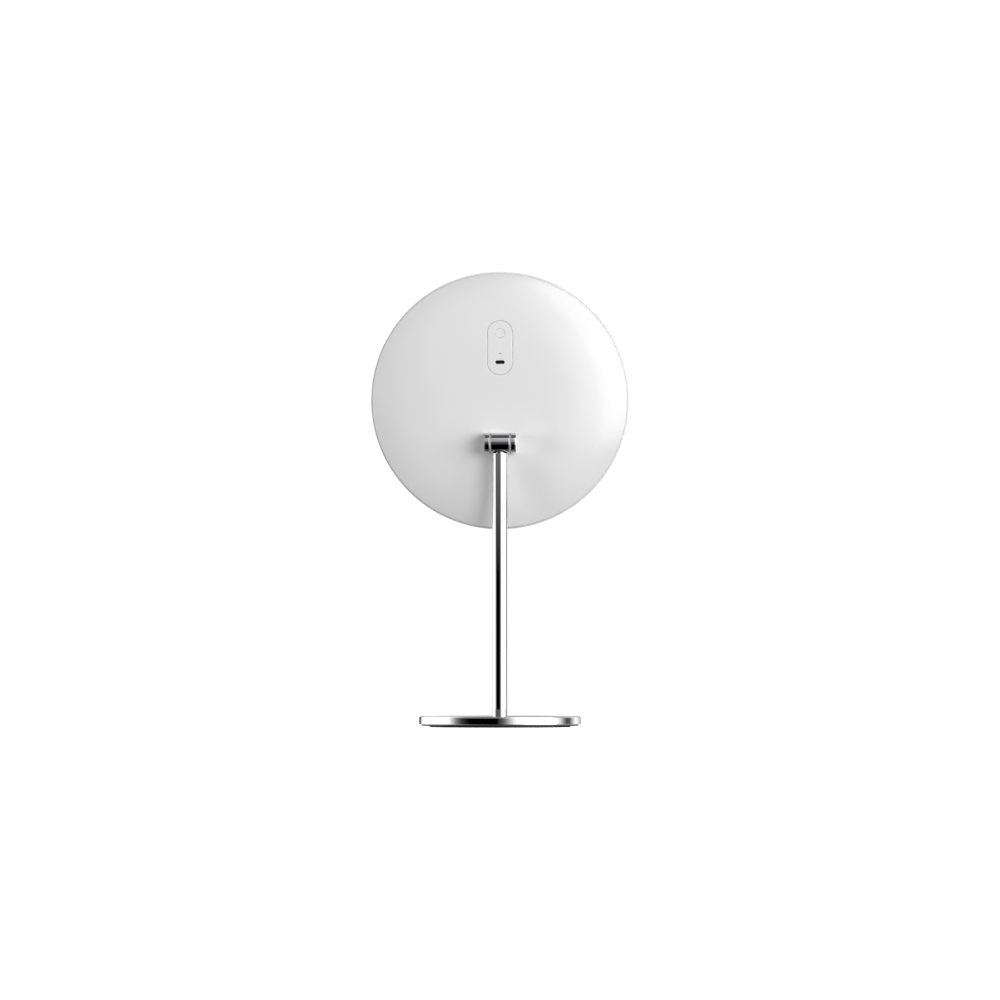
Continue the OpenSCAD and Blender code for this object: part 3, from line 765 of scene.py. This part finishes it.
def make_finishes(chosen):
    """One material for each of the record's material slots."""
    whites = ("white_shell", "white_panel", "white_button", "white_bezel")
    made = (
        plated("polished_chrome", tuple(chosen.chrome)),
        machined("weight_steel", (0.3, 0.3, 0.31), 0.45, (1, 18, 1)),
        coated("dark_base_plate", tuple(chosen.plate), 0.5, 1900, 0.02 * MM),
        coated("pad_rubber", tuple(chosen.pad), 0.82, 1300, 0.03 * MM),
        machined("fastener_steel", (0.55, 0.55, 0.56), 0.3),
        galvanised("plate_steel", (0.62, 0.63, 0.64)),
        moulded("bush_plastic", (0.2, 0.2, 0.21), 0.5),
        moulded("washer_plastic", (0.5, 0.51, 0.52), 0.35),
        *(moulded(name, tuple(chosen.shell), 0.18, ior=1.6) for name in whites),
        machined("port_steel", (0.03, 0.03, 0.032), 0.3),
        moulded("black_moulding", (0.012, 0.012, 0.013), 0.5),
        moulded("light_pipe", (0.22, 0.22, 0.23), 0.2),
        circuit("circuit_board", (0.02, 0.16, 0.06), (0.05, 0.3, 0.13)),
        circuit("led_board", (0.8, 0.8, 0.78), (0.86, 0.84, 0.78)),
        speckled("led_package", (0.9, 0.82, 0.5), 0.4, 0.1),
        speckled("chip_epoxy", (0.025, 0.025, 0.028), 0.55),
        machined("standoff_brass", (0.8, 0.58, 0.24), 0.28),
        crinkled("battery_foil", (0.72, 0.73, 0.74)),
        coated("foam_tape", (0.05, 0.05, 0.055), 0.9, 800, 0.08 * MM),
        moulded("lead_red", (0.55, 0.02, 0.015), 0.4),
        moulded("lead_yellow", (0.75, 0.5, 0.04), 0.4),
        moulded("frame_plastic", (0.72, 0.72, 0.71), 0.5, 0.01 * MM),
        moulded("display_black", (0.012, 0.012, 0.014), 0.18),
        film("ribbon_film", (0.55, 0.25, 0.04), (0.35, 0.14, 0.02)),
        clear_touch("sensor_glass", (0.05, 0.055, 0.06)),
        half_silvered("mirror_front", tuple(chosen.mirror)),
        opal("frosted_diffuser", tuple(chosen.opal)),
    )
    return {surface.name: surface.material for surface in made}


def finish_for(node):
    """The material that a node's slot asks for."""
    return bpy.data.materials[SLOT_OF[node] + "_finish"]


# ---- Rear of the head ----


def on_dome(bm, scene, material):
    """Lays a flat piece on the rear dome."""
    sizes = scene.display_head
    values = {
        "Shell Radius": sizes.shell_radius,
        "Rim Level": sizes.rim_level,
        "Dome Rise": sizes.dome_rise,
        "Bump Rise": sizes.bump_rise,
        "Bump Reach": sizes.bump_reach,
        "Hinge Drop": HEAD_HEIGHT - TILT.z,
        "Seat Width": width("hinge_yoke"),
        "Seat Height": 2 * BARREL_R,
        "Material": material,
    }
    tree = bpy.data.node_groups.get("lay_on_dome") or dome_tree()
    return run_tree(tree, values, bm)


def panel_shape(clearance=0.0):
    """Outline of the control panel, with a clearance round it."""
    radius = width("control_panel") / 2
    half_pitch = tall("control_panel") / 2 - radius
    return Slot(head_up("control_panel"), radius + clearance, 0.0, half_pitch)


class SMARTDISPLAY_OT_rear_shell(bpy.types.Operator):
    """Build the domed rear shell with its hinge bump and its panel recess"""

    bl_idname = "smart_display.rear_shell"
    bl_label = "Rear shell"

    def execute(self, context):
        scene = context.scene
        sizes, panel = scene.display_head, scene.display_panel
        radius, rounding, edge = sizes.shell_radius, sizes.rim_round, panel.edge
        rim_wall, rim_chamfer = 2.2 * MM, 0.25 * MM
        ledge_width, panel_bed = 1.7 * MM, 0.2 * MM
        outer_steps, rim_steps, inner_steps = 60, 6, 24
        hole = panel_shape(panel.gap)
        window = panel_shape(-ledge_width)
        front, _ = head_levels("rear_shell")
        directions = round_points(320)

        def to_slot(slot, offset):
            """Where each ray from the panel's middle crosses a slot's outline."""
            reach, half = slot.radius + offset, slot.half_height
            points = []
            for cos, sin in directions:
                distance = reach / abs(cos) if abs(cos) > 1e-9 else math.inf
                if distance * abs(sin) > half:
                    distance = half * abs(sin) + math.sqrt(reach ** 2 - (half * cos) ** 2)
                points.append((distance * cos, slot.middle + distance * sin))
            return points

        def to_circle(reach):
            """Where each ray from the panel's middle crosses a circle round the head's middle."""
            up = hole.middle
            points = []
            for cos, sin in directions:
                distance = math.sqrt(reach ** 2 - (up * cos) ** 2) - up * sin
                points.append((distance * cos, up + distance * sin))
            return points

        def between(first, second, share):
            return [tuple(Vector(a).lerp(Vector(b), share)) for a, b in zip(first, second)]

        stations, lifts = [], []

        def add_ring(points, level, lift=1.0):
            stations.append([(x, y, level) for x, y in points])
            lifts.append(lift)

        for share in EDGE_SHARES:
            add_ring(to_slot(hole, share * edge), -edge_drop(share * edge, edge))
        start, end = to_slot(hole, edge), to_circle(radius - rounding)
        for step in range(1, outer_steps + 1):
            add_ring(between(start, end, step / outer_steps), 0.0)
        for share in (step / rim_steps for step in range(1, rim_steps + 1)):
            add_ring(to_circle(radius - rounding * (1 - share) ** 2), -rounding * share ** 2)
        add_ring(to_circle(radius), front + rim_chamfer, 0.0)
        add_ring(to_circle(radius - rim_chamfer), front, 0.0)
        add_ring(to_circle(radius - rim_wall), front, 0.0)
        start, end = to_circle(radius - rim_wall), to_slot(window, 0.0)
        for step in range(inner_steps + 1):
            add_ring(between(start, end, step / inner_steps), -sizes.shell_wall)
        ledge = -panel.thickness - panel_bed
        add_ring(to_slot(window, 0.0), ledge)
        add_ring(to_slot(hole, 0.0), ledge)
        skin = on_dome(stacked(stations, True, lifts), scene, finish_for("rear_shell"))
        add_piece("rear_shell_skin", skin, HEAD, "rear_shell", flat_faces=False)
        return {"FINISHED"}


class SMARTDISPLAY_OT_control_panel(bpy.types.Operator):
    """Build the pill-shaped control panel, flush with the dome"""

    bl_idname = "smart_display.control_panel"
    bl_label = "Control panel"

    def execute(self, context):
        scene = context.scene
        sizes = scene.display_panel
        fit, point_spacing = 0.1 * MM, 1.6 * MM
        port_radius = tall("usb_c_port") / 2 + fit
        port_half = width("usb_c_port") / 2 + fit - port_radius
        openings = [
            Slot(head_up("power_button"), sizes.button_radius + sizes.button_gap),
            Slot(head_up("usb_c_port"), port_radius, port_half),
            Slot(head_up("light_pipe"), width("light_pipe") / 2 + fit / 2),
        ]
        panel = plate(panel_shape(), openings, sizes.thickness, sizes.edge, point_spacing)
        skin = on_dome(panel, scene, finish_for("control_panel"))
        add_piece("control_panel_skin", skin, HEAD, "control_panel")
        return {"FINISHED"}


class SMARTDISPLAY_OT_power_button(bpy.types.Operator):
    """Build the dished power button with its flange"""

    bl_idname = "smart_display.power_button"
    bl_label = "Power button"

    def execute(self, context):
        scene = context.scene
        sizes = scene.display_panel
        radius, edge, dish = sizes.button_radius, sizes.edge, sizes.dish
        outer, flange_thickness, dish_steps = width("power_button") / 2, 0.7 * MM, 12
        shares = [step / dish_steps for step in range(dish_steps + 1)]
        top = [(share * (radius - edge), -dish * (1 - share * share) ** 2) for share in shares]
        top += [(radius - share * edge, -edge_drop(share * edge, edge)) for share in (0.6, 0.3, 0.1, 0.0)]
        low, _ = head_levels("power_button")
        high = low + flange_thickness
        flange = [(radius, high), (outer, high), (outer, low), (0.0, low)]
        button = turned(top + flange, 96, False, [1.0] * len(top) + [0.0] * len(flange))
        bmesh.ops.translate(button, verts=button.verts, vec=(0, head_up("power_button"), 0))
        cap = on_dome(button, scene, finish_for("power_button"))
        add_piece("power_button_cap", cap, HEAD, "power_button")
        return {"FINISHED"}


# ---- Tilt hinge ----


def barrel_piece(inner, outer, radius, bore, edge):
    """A turned ring of the hinge barrel between two places on the tilt axis, with rounded outer edges."""
    corners = [(bore, inner, 0), (radius, inner, edge), (radius, outer, edge), (bore, outer, 0)]
    return turned(rounded(corners), 128, bore > 0)


def both_sides(make):
    """Two opposite copies of a barrel piece in one mesh."""
    bm = bmesh.new()
    for side in (1, -1):
        mesh = mesh_of("scratch", closed_up(make(side)))
        bm.from_mesh(mesh)
        bpy.data.meshes.remove(mesh)
    return bm


class SMARTDISPLAY_OT_hinge_barrel(bpy.types.Operator):
    """Build the turned pieces of the hinge barrel: knuckle, washers and end caps"""

    bl_idname = "smart_display.hinge_barrel"
    bl_label = "Hinge barrel"

    def execute(self, context):
        edge = context.scene.display_hinge.edge
        self.build_knuckle(edge, context.scene.display_stand.pole_wall)
        self.build_washers()
        self.build_caps(edge)
        return {"FINISHED"}

    def build_knuckle(self, edge, pole_wall):
        """The middle of the barrel, with a neck down to a spigot in the pole."""
        neck_radius, thread_gap, bite = 4.5 * MM, 0.02 * MM, 1.5 * MM
        bush = tall("friction_bush") / 2
        half = width("hinge_knuckle") / 2
        barrel = barrel_piece(-half, half, BARREL_R, bush, edge)
        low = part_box("hinge_knuckle")[0].z - TILT.z
        pole_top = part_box("pole")[1].z - TILT.z
        spigot_radius = width("pole") / 2 - pole_wall - thread_gap
        neck_top = -bush - bite
        # The spigot is drawn upright, with its levels counted from the tilt axis
        spigot = turned(rounded([
            (0, low, 0), (spigot_radius, low, edge), (spigot_radius, pole_top, 0),
            (neck_radius, pole_top, 0), (neck_radius, neck_top, 0), (0, neck_top, 0),
        ], closed=False), 96, False)
        spigot.transform(HINGE.inverted() @ Matrix.Translation(TILT))
        knuckle = combined(closed_up(barrel), closed_up(spigot), "UNION")
        add_piece("hinge_knuckle_barrel", knuckle, HINGE, "hinge_knuckle")

    def build_washers(self):
        """The two thin rings between the knuckle and the yoke's ears."""
        play, edge = 0.1 * MM, 0.2 * MM
        inner = width("hinge_knuckle") / 2 + play
        outer = width("hinge_washers") / 2
        radius = tall("hinge_washers") / 2
        pair = both_sides(lambda side: barrel_piece(side * inner, side * outer, radius, SHAFT_HOLE_R, edge))
        add_piece("hinge_washer_pair", pair, HINGE, "hinge_washers")

    def build_caps(self, edge):
        """The two discs that close the barrel, each with a shallow dish."""
        dish_radius, rim_radius, dish = 6.4 * MM, 7.2 * MM, 0.25 * MM
        inner, outer = width("hinge_yoke") / 2, width("end_caps") / 2

        def cap(side):
            corners = [
                (0, side * inner, 0), (BARREL_R, side * inner, 0), (BARREL_R, side * outer, edge),
                (rim_radius, side * outer, dish / 2), (dish_radius, side * (outer - dish), dish / 2),
                (0, side * (outer - dish), 0),
            ]
            return turned(rounded(corners, closed=False), 128, False)

        add_piece("end_cap_pair", both_sides(cap), HINGE, "end_caps")


class SMARTDISPLAY_OT_hinge_yoke(bpy.types.Operator):
    """Build the yoke: two round ears on a bridge that stands on the bump"""

    bl_idname = "smart_display.hinge_yoke"
    bl_label = "Hinge yoke"

    def execute(self, context):
        seat_gap = context.scene.display_hinge.seat_gap
        play, buried, overlap, beyond = 0.1 * MM, 0.8 * MM, 0.5 * MM, 20 * MM
        neck_half_width, neck_half_height = 13.8 * MM, 8.3 * MM
        ear_edge, ear_steps, ear_angle = 0.3 * MM, 3, 50.0
        out = width("hinge_yoke") / 2
        ear_in = width("hinge_washers") / 2 + play
        _, seat = head_levels("rear_shell")
        foot = seat - buried
        plate_level, _ = head_levels("hinge_yoke")
        axis, low = TILT.y - FRONT, TILT.z - HEAD_HEIGHT

        def across(bm, level):
            """Turns a prism so that it runs along X, at the tilt axis' height and a level."""
            bm.transform(Matrix(((0, 0, 1, 0), (1, 0, 0, low), (0, 1, 0, level), (0, 0, 0, 1))))
            return closed_up(bm)

        half_turn = [math.pi * i / 64 for i in range(65)]
        arch = [(-BARREL_R, foot), (BARREL_R, foot)]
        arch += [(BARREL_R * math.cos(a), axis + BARREL_R * math.sin(a)) for a in half_turn]
        bridge_top = axis - BARREL_R - seat_gap
        room = block(-ear_in, ear_in, low - beyond, low + beyond, bridge_top, axis + beyond)
        ears = combined(across(prism(arch, 2 * out), 0), room, "DIFFERENCE")
        round_edges(ears, ear_edge, ear_steps, ear_angle)
        shaft = prism(round_points(64, SHAFT_HOLE_R), 2 * out + beyond)
        ears = combined(ears, across(shaft, axis), "DIFFERENCE")
        neck = block(-neck_half_width, neck_half_width, low - neck_half_height, low + neck_half_height,
                     plate_level, foot + overlap)
        ears = combined(closed_up(ears), closed_up(neck), "UNION")
        add_piece("hinge_yoke_body", ears, HEAD, "hinge_yoke")
        return {"FINISHED"}


# ---- Stand ----


class SMARTDISPLAY_OT_pole(bpy.types.Operator):
    """Build the chrome pole, which ends just under the hinge barrel"""

    bl_idname = "smart_display.pole"
    bl_label = "Pole"

    def execute(self, context):
        sizes = context.scene.display_stand
        radius = width("pole") / 2
        low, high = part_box("pole")
        bore = radius - sizes.pole_wall
        foot_edge, top_edge, bore_edge = 0.3 * MM, 0.35 * MM, 0.2 * MM
        corners = [
            (bore, low.z, 0), (radius, low.z, foot_edge),
            (radius, high.z, top_edge), (bore, high.z, bore_edge),
        ]
        tube = turned(rounded(corners), 192)
        add_piece("pole_tube", tube, Matrix.Translation((0, TILT.y, 0)), "pole", flat_faces=False)
        return {"FINISHED"}


class SMARTDISPLAY_OT_base(bpy.types.Operator):
    """Build the chrome base cover and the grooved foot pad"""

    bl_idname = "smart_display.base"
    bl_label = "Base cover and foot pad"

    def execute(self, context):
        sizes = context.scene.display_stand
        self.build_cover(sizes.cover_wall, sizes.cover_edge)
        self.build_pad(sizes.grooves)
        return {"FINISHED"}

    def build_cover(self, wall, edge):
        """The disc cover, with the hole that the pole stands in."""
        skirt_edge, inner_edge, pole_gap, beyond = 0.5 * MM, 0.6 * MM, 0.06 * MM, 5 * MM
        low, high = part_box("base_cover")
        radius = width("base_cover") / 2
        corners = [
            (0, high.z, 0), (radius, high.z, edge), (radius, low.z, skirt_edge),
            (radius - wall, low.z, 0), (radius - wall, high.z - wall, inner_edge), (0, high.z - wall, 0),
        ]
        cover = closed_up(turned(rounded(corners, 8, False), 360, False))
        hole, over = width("pole") / 2 + pole_gap, high.z + beyond
        bore = closed_up(turned([(0, low.z), (hole, low.z), (hole, over), (0, over)], 192, False))
        bmesh.ops.translate(bore, verts=bore.verts, vec=(0, TILT.y, 0))
        add_piece("base_cover_shell", combined(cover, bore, "DIFFERENCE"), STAND, "base_cover")

    def build_pad(self, grooves):
        """The rubber pad, with round grooves under it that narrow upwards."""
        pitch, deep, slope, floor_width = 3 * MM, 0.35 * MM, 0.4 * MM, 0.8 * MM
        top_edge, foot_edge, groove_edge = 0.15 * MM, 0.3 * MM, 0.1 * MM
        radius = width("foot_pad") / 2
        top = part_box("foot_pad")[1].z
        corners = [(0, top, 0), (radius, top, top_edge), (radius, 0, foot_edge)]
        for groove in range(1, grooves + 1):
            outer = radius - groove * pitch
            inner = outer - 2 * slope - floor_width
            corners += [(outer, 0, groove_edge), (outer - slope, deep, groove_edge),
                        (inner + slope, deep, groove_edge), (inner, 0, groove_edge)]
        corners.append((0, 0, 0))
        add_piece("foot_pad_rubber", turned(rounded(corners, 2, False), 180, False), STAND, "foot_pad")


# ---- Front of the head ----


class SMARTDISPLAY_OT_front(bpy.types.Operator):
    """Build the bezel, the frosted light ring and the mirror glass"""

    bl_idname = "smart_display.front"
    bl_label = "Bezel, light ring and mirror glass"

    opening = 119.5 * MM
    face = 1.6 * MM
    soft = 0.3 * MM

    def execute(self, context):
        sizes = context.scene.display_front
        self.build_bezel(sizes.bezel_edge)
        self.build_diffuser()
        self.build_glass(sizes.glass_bevel)
        return {"FINISHED"}

    def build_bezel(self, edge):
        """The slim rim, with a tongue behind its face that holds the light ring."""
        wall, wall_back, wall_edge = 2.1 * MM, 6.2 * MM, 0.35 * MM
        tongue_in, tongue_out = 121.2 * MM, 123.3 * MM
        outer = width("front_bezel") / 2
        _, tongue_back = head_levels("front_bezel")
        opening, face, soft = self.opening, self.face, self.soft
        corners = [
            (opening, 0, soft), (outer, 0, edge), (outer, wall_back, wall_edge),
            (outer - wall, wall_back, soft), (outer - wall, face, 0), (tongue_out, face, 0),
            (tongue_out, tongue_back, soft), (tongue_in, tongue_back, soft), (tongue_in, face, 0),
            (opening, face, 0),
        ]
        add_piece("front_bezel_ring", turned(rounded(corners), 360), HEAD, "front_bezel")

    def build_diffuser(self):
        """The frosted ring, with a lip that sits behind the rim's face."""
        inner, gap, soft = 106.3 * MM, 0.2 * MM, self.soft
        lip = width("light_diffuser") / 2
        front, back = head_levels("light_diffuser")
        edge, step = self.opening - gap, self.face + gap
        corners = [
            (inner, front, soft), (edge, front, soft), (edge, step, 0), (lip, step, 0), (lip, back, soft),
            (inner, back, soft),
        ]
        add_piece("light_diffuser_ring", turned(rounded(corners), 360), HEAD, "light_diffuser")

    def build_glass(self, bevel):
        """The mirror glass, with a polished bevel."""
        bevel_depth, bevel_edge, back_edge = 0.5 * MM, 0.1 * MM, 0.2 * MM
        front, back = head_levels("mirror_glass")
        radius = width("mirror_glass") / 2
        corners = [
            (0, front, 0), (radius - bevel, front, bevel_edge), (radius, front + bevel_depth, bevel_edge),
            (radius, back, back_edge), (0, back, 0),
        ]
        add_piece("mirror_glass_disc", turned(rounded(corners, 3, False), 360, False), HEAD, "mirror_glass")


# ---- What repeats ----


def round_copies(piece, count, radius, start, level, material):
    """Copies of a scratch piece round a circle, as one mesh."""
    tree = bpy.data.node_groups.get("repeat_round_circle") or ring_tree()
    template = scratch_object(closed_up(piece))
    result = run_tree(tree, {
        "Piece": template, "Count": count, "Radius": radius, "Start Angle": start, "Level": level,
        "Material": material})
    discard(template)
    return result


def pan_screw(head_radius, head_height, shank_radius, length):
    """A pan-head screw with a cross recess, head at zero, shank along Z."""
    end = head_height + length
    corners = [
        (0, 0, 0), (head_radius, 0, 0.45 * head_height), (head_radius, head_height, 0.1 * MM),
        (shank_radius, head_height, 0), (shank_radius, end, 0.3 * MM), (0, end, 0),
    ]
    screw = closed_up(turned(rounded(corners, 4, False), 32, False))
    arm, half, deep = head_radius * 0.55, head_radius * 0.13, head_height * 0.65
    for length_x, length_y in ((arm, half), (half, arm)):
        slit = closed_up(block(-length_x, length_x, -length_y, length_y, -MM, deep))
        screw = combined(screw, slit, "DIFFERENCE")
    return screw


class SMARTDISPLAY_OT_ring_leds(bpy.types.Operator):
    """Build the ring of light-emitting diodes"""

    bl_idname = "smart_display.ring_leds"
    bl_label = "Light ring diodes"

    def execute(self, context):
        count = context.scene.display_front.led_count
        ring_radius, half_x, half_y, edge = 112.8 * MM, 1.4 * MM, 1.75 * MM, 0.1 * MM
        level, back = head_levels("ring_leds")
        thick = back - level
        # The lens is sunk into the front of the package
        lens_x, lens_y, lens_depth = 0.7 * half_x, 0.75 * half_y, 0.2 * thick
        package = block(-half_x, half_x, -half_y, half_y, 0, thick)
        round_edges(package, edge, 1)
        lens = closed_up(block(-lens_x, lens_x, -lens_y, lens_y, -thick, lens_depth))
        package = combined(closed_up(package), lens, "DIFFERENCE")
        leds = round_copies(package, count, ring_radius, 0.0, level, finish_for("ring_leds"))
        add_piece("ring_led_packages", leds, HEAD, "ring_leds", flat_faces=False)
        return {"FINISHED"}


class SMARTDISPLAY_OT_screws(bpy.types.Operator):
    """Build the screws that stand in circles: the shell's and the base plate's"""

    bl_idname = "smart_display.screws"
    bl_label = "Screws"

    def execute(self, context):
        shank = 1.5 * MM
        shell_ring, shell_count, shell_start = 102 * MM, 6, math.radians(30)
        shell_head, shell_head_height = 2.8 * MM, 1.8 * MM
        level, back = head_levels("shell_screws")
        screw = pan_screw(shell_head, shell_head_height, shank, back - level - shell_head_height)
        screws = round_copies(screw, shell_count, shell_ring, shell_start, level, finish_for("shell_screws"))
        add_piece("shell_screw_set", screws, HEAD, "shell_screws")

        base_ring, base_count, base_start = 58 * MM, 4, math.radians(45)
        base_head, base_head_height = 3 * MM, 1.5 * MM
        low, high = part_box("base_screws")
        screw = pan_screw(base_head, base_head_height, shank, high.z - low.z - base_head_height)
        screws = round_copies(screw, base_count, base_ring, base_start, low.z, finish_for("base_screws"))
        add_piece("base_screw_set", screws, STAND, "base_screws")
        return {"FINISHED"}


# ---- Finishes and stage ----


class SMARTDISPLAY_OT_finishes(bpy.types.Operator):
    """Make every finish and paint the CAD pieces with them"""

    bl_idname = "smart_display.finishes"
    bl_label = "Finishes"

    def execute(self, context):
        made = make_finishes(context.scene.display_finishes)
        for node, piece in frame["nodes"].items():
            material = made[SLOT_OF[node]]
            if not piece.material_slots:
                piece.data.materials.append(material)
            for slot in piece.material_slots:
                slot.material = material
        return {"FINISHED"}


def studio_world(ambient):
    """A white backdrop, a soft room and, for reflections, a studio of soft boxes and black flags."""
    world = bpy.data.worlds.new("studio")
    bpy.context.scene.world = world
    world.use_nodes = True
    world.node_tree.nodes.clear()
    wiring = Wiring(world.node_tree)
    direction = wiring.add("ShaderNodeTexCoord").outputs["Generated"]
    x, y, z = wiring.add("ShaderNodeSeparateXYZ", {"Vector": direction}).outputs
    azimuth = wiring.math("ARCTAN2", wiring.math("MULTIPLY", x, -1.0), y)
    around = wiring.remap(azimuth, -math.pi, math.pi, 0.0, 1.0)
    elevation = wiring.remap(wiring.math("ARCSINE", z), -math.pi / 2, math.pi / 2, 0.0, 1.0)
    brightest, backdrop_strength, leaning = 4.5, 1.05, 0.14

    def by_azimuth(value, stops):
        """Greys by degrees round the object, from straight behind, positive to the right."""
        return wiring.ramp(value, [((degrees + 180) / 360, grey) for degrees, grey in stops])

    def by_elevation(stops):
        """Greys by degrees over the horizon."""
        return wiring.ramp(elevation, [((degrees + 90) / 180, grey) for degrees, grey in stops])

    # The soft boxes and flags lean to the left as they rise
    above = wiring.math("MAXIMUM", wiring.math("SUBTRACT", elevation, 0.5), 0.0)
    walls = by_azimuth(wiring.math("ADD", around, wiring.math("MULTIPLY", above, leaning)), [
        # The dim display side, then the left soft box
        (-180, 0.11), (-176, 0.11), (-169, 0.045), (-153, 0.045), (-146, 0.4), (-84, 0.42), (-76, 0.31),
        # The left box fades into the black flag behind
        (-71, 0.18), (-66, 0.09), (-61, 0.04), (-56, 0.013), (-51, 0.005), (-44, 0.0), (-4, 0.0),
        # A slow rise to the bright right soft box
        (0, 0.018), (4.6, 0.038), (8.8, 0.083), (13, 0.16), (17.3, 0.24), (21.6, 0.33), (25, 0.37),
        (31, 0.4), (41, 0.95), (85, 0.95),
        # The right box falls off, and a weak one stands on the display side
        (90, 0.34), (96.6, 0.24), (103, 0.1), (110, 0.025), (118, 0.03), (127, 0.18), (137, 0.34),
        (165, 0.11),
    ])
    wall_band = by_elevation([(-22, 0.0), (-10, 1.0), (54, 1.0), (64, 0.0)])
    overhead = by_elevation([
        (0.6, 0.0), (5, 0.025), (16, 0.08), (28, 0.13), (40, 0.135), (52, 0.08), (65, 0.02), (80, 0.008),
        (85, 0.05)])
    table_sides = by_azimuth(around, [(-75, 0.16), (-52, 0.0), (8, 0.0), (30, 0.16)])
    table_band = by_elevation([(-90, 0.5), (-30, 1.0), (-6, 0.8), (-3, 0.0)])
    lit = wiring.math("MAXIMUM", wiring.math("MULTIPLY", walls, wall_band), overhead)
    lit = wiring.math("MAXIMUM", lit, wiring.math("MULTIPLY", table_sides, table_band))

    def background(shade, strength):
        return wiring.add("ShaderNodeBackground", {"Color": shade, "Strength": strength}).outputs[0]

    def mixed(share, first, second):
        return wiring.add("ShaderNodeMixShader", {0: share, 1: first, 2: second}).outputs[0]

    white = (1, 1, 1, 1)
    path = wiring.add("ShaderNodeLightPath").outputs
    seen = mixed(path["Is Glossy Ray"], background(white, ambient), background(lit, brightest))
    shown = mixed(path["Is Camera Ray"], seen, background(white, backdrop_strength))
    wiring.add("ShaderNodeOutputWorld", {"Surface": shown})


def soft_light(name, azimuth, elevation, breadth, energy):
    """A square soft light that faces the head, and shows in no reflection."""
    aimed_at, distance = Vector((0, 0, 0.3)), 3.0
    light = bpy.data.lights.new(name, "AREA")
    light.size = breadth
    light.energy = energy
    turn, rise = math.radians(azimuth), math.radians(elevation)
    way = Vector((-math.sin(turn) * math.cos(rise), math.cos(turn) * math.cos(rise), math.sin(rise)))
    made = linked(name, light)
    made.location = aimed_at + way * distance
    made.rotation_euler = way.to_track_quat("Z", "Y").to_euler()
    made.visible_camera = False
    made.visible_glossy = False


class SMARTDISPLAY_OT_stage(bpy.types.Operator):
    """Build the pale floor, the soft lights and the camera"""

    bl_idname = "smart_display.stage"
    bl_label = "Stage"

    def execute(self, context):
        scene = context.scene
        sizes = scene.display_stage
        scene.view_settings.view_transform = "Standard"
        scene.view_settings.look = "None"

        white, glow = (1, 1, 1, 1), 0.82
        pale = Surface("pale_floor", (0.9, 0.9, 0.9), 0.7, emission_color=white, emission_strength=glow)
        pale.tint(pale.noise(6, 2), 0.01)
        disc = mesh_of("floor", turned([(0, 0), (sizes.floor_radius, 0)], 128, False))
        disc.materials.append(pale.material)
        floor = linked("floor", disc)
        floor.visible_glossy = False
        floor.visible_diffuse = False

        studio_world(sizes.ambient)
        # Each light's azimuth from straight behind, its elevation and its breadth in metres
        soft_light("key_light", 28, 9, 1.4, sizes.key_power)
        soft_light("edge_light", 58, 9, 1.2, sizes.edge_power)
        soft_light("side_light", -58, 4, 0.9, sizes.side_power)
        soft_light("front_light", 155, 35, 1.6, sizes.front_power)

        camera = bpy.data.cameras.new("camera")
        camera.sensor_width = 36.0
        camera.lens = camera.sensor_width * sizes.camera_distance / sizes.frame_height
        camera.clip_end = 4 * sizes.camera_distance
        view = linked("camera", camera)
        view.location = (0.0, TILT.y + sizes.camera_distance, sizes.picture_middle)
        view.rotation_euler = (math.pi / 2, 0, math.pi)
        scene.camera = view
        return {"FINISHED"}


OPERATORS = (
    SMARTDISPLAY_OT_finishes,
    SMARTDISPLAY_OT_rear_shell,
    SMARTDISPLAY_OT_control_panel,
    SMARTDISPLAY_OT_power_button,
    SMARTDISPLAY_OT_hinge_barrel,
    SMARTDISPLAY_OT_hinge_yoke,
    SMARTDISPLAY_OT_pole,
    SMARTDISPLAY_OT_base,
    SMARTDISPLAY_OT_front,
    SMARTDISPLAY_OT_ring_leds,
    SMARTDISPLAY_OT_screws,
    SMARTDISPLAY_OT_stage,
)

SETTINGS = {
    "display_head": HeadSizes,
    "display_panel": PanelSizes,
    "display_hinge": HingeSizes,
    "display_stand": StandSizes,
    "display_front": FrontSizes,
    "display_finishes": Finishes,
    "display_stage": StageSettings,
}


class SMARTDISPLAY_PT_sidebar(bpy.types.Panel):
    """Lists the display's sizes, colours and pieces"""

    bl_idname = "SMARTDISPLAY_PT_sidebar"
    bl_label = "Smart display"
    bl_space_type = "VIEW_3D"
    bl_region_type = "UI"
    bl_category = "Smart display"

    def draw(self, context):
        for name, group in SETTINGS.items():
            settings = self.layout.box()
            for key in group.__annotations__:
                settings.prop(getattr(context.scene, name), key)
        for operator in OPERATORS:
            self.layout.operator(operator.bl_idname)


def register():
    for group in (*SETTINGS.values(), *OPERATORS, SMARTDISPLAY_PT_sidebar):
        bpy.utils.register_class(group)
    for name, group in SETTINGS.items():
        setattr(bpy.types.Scene, name, PointerProperty(type=group))


def unregister():
    for name in SETTINGS:
        delattr(bpy.types.Scene, name)
    for group in reversed((*SETTINGS.values(), *OPERATORS, SMARTDISPLAY_PT_sidebar)):
        bpy.utils.unregister_class(group)


def main():
    register()
    for operator in OPERATORS:
        getattr(bpy.ops.smart_display, operator.bl_idname.split(".")[1])()


if __name__ == "__main__":
    main()
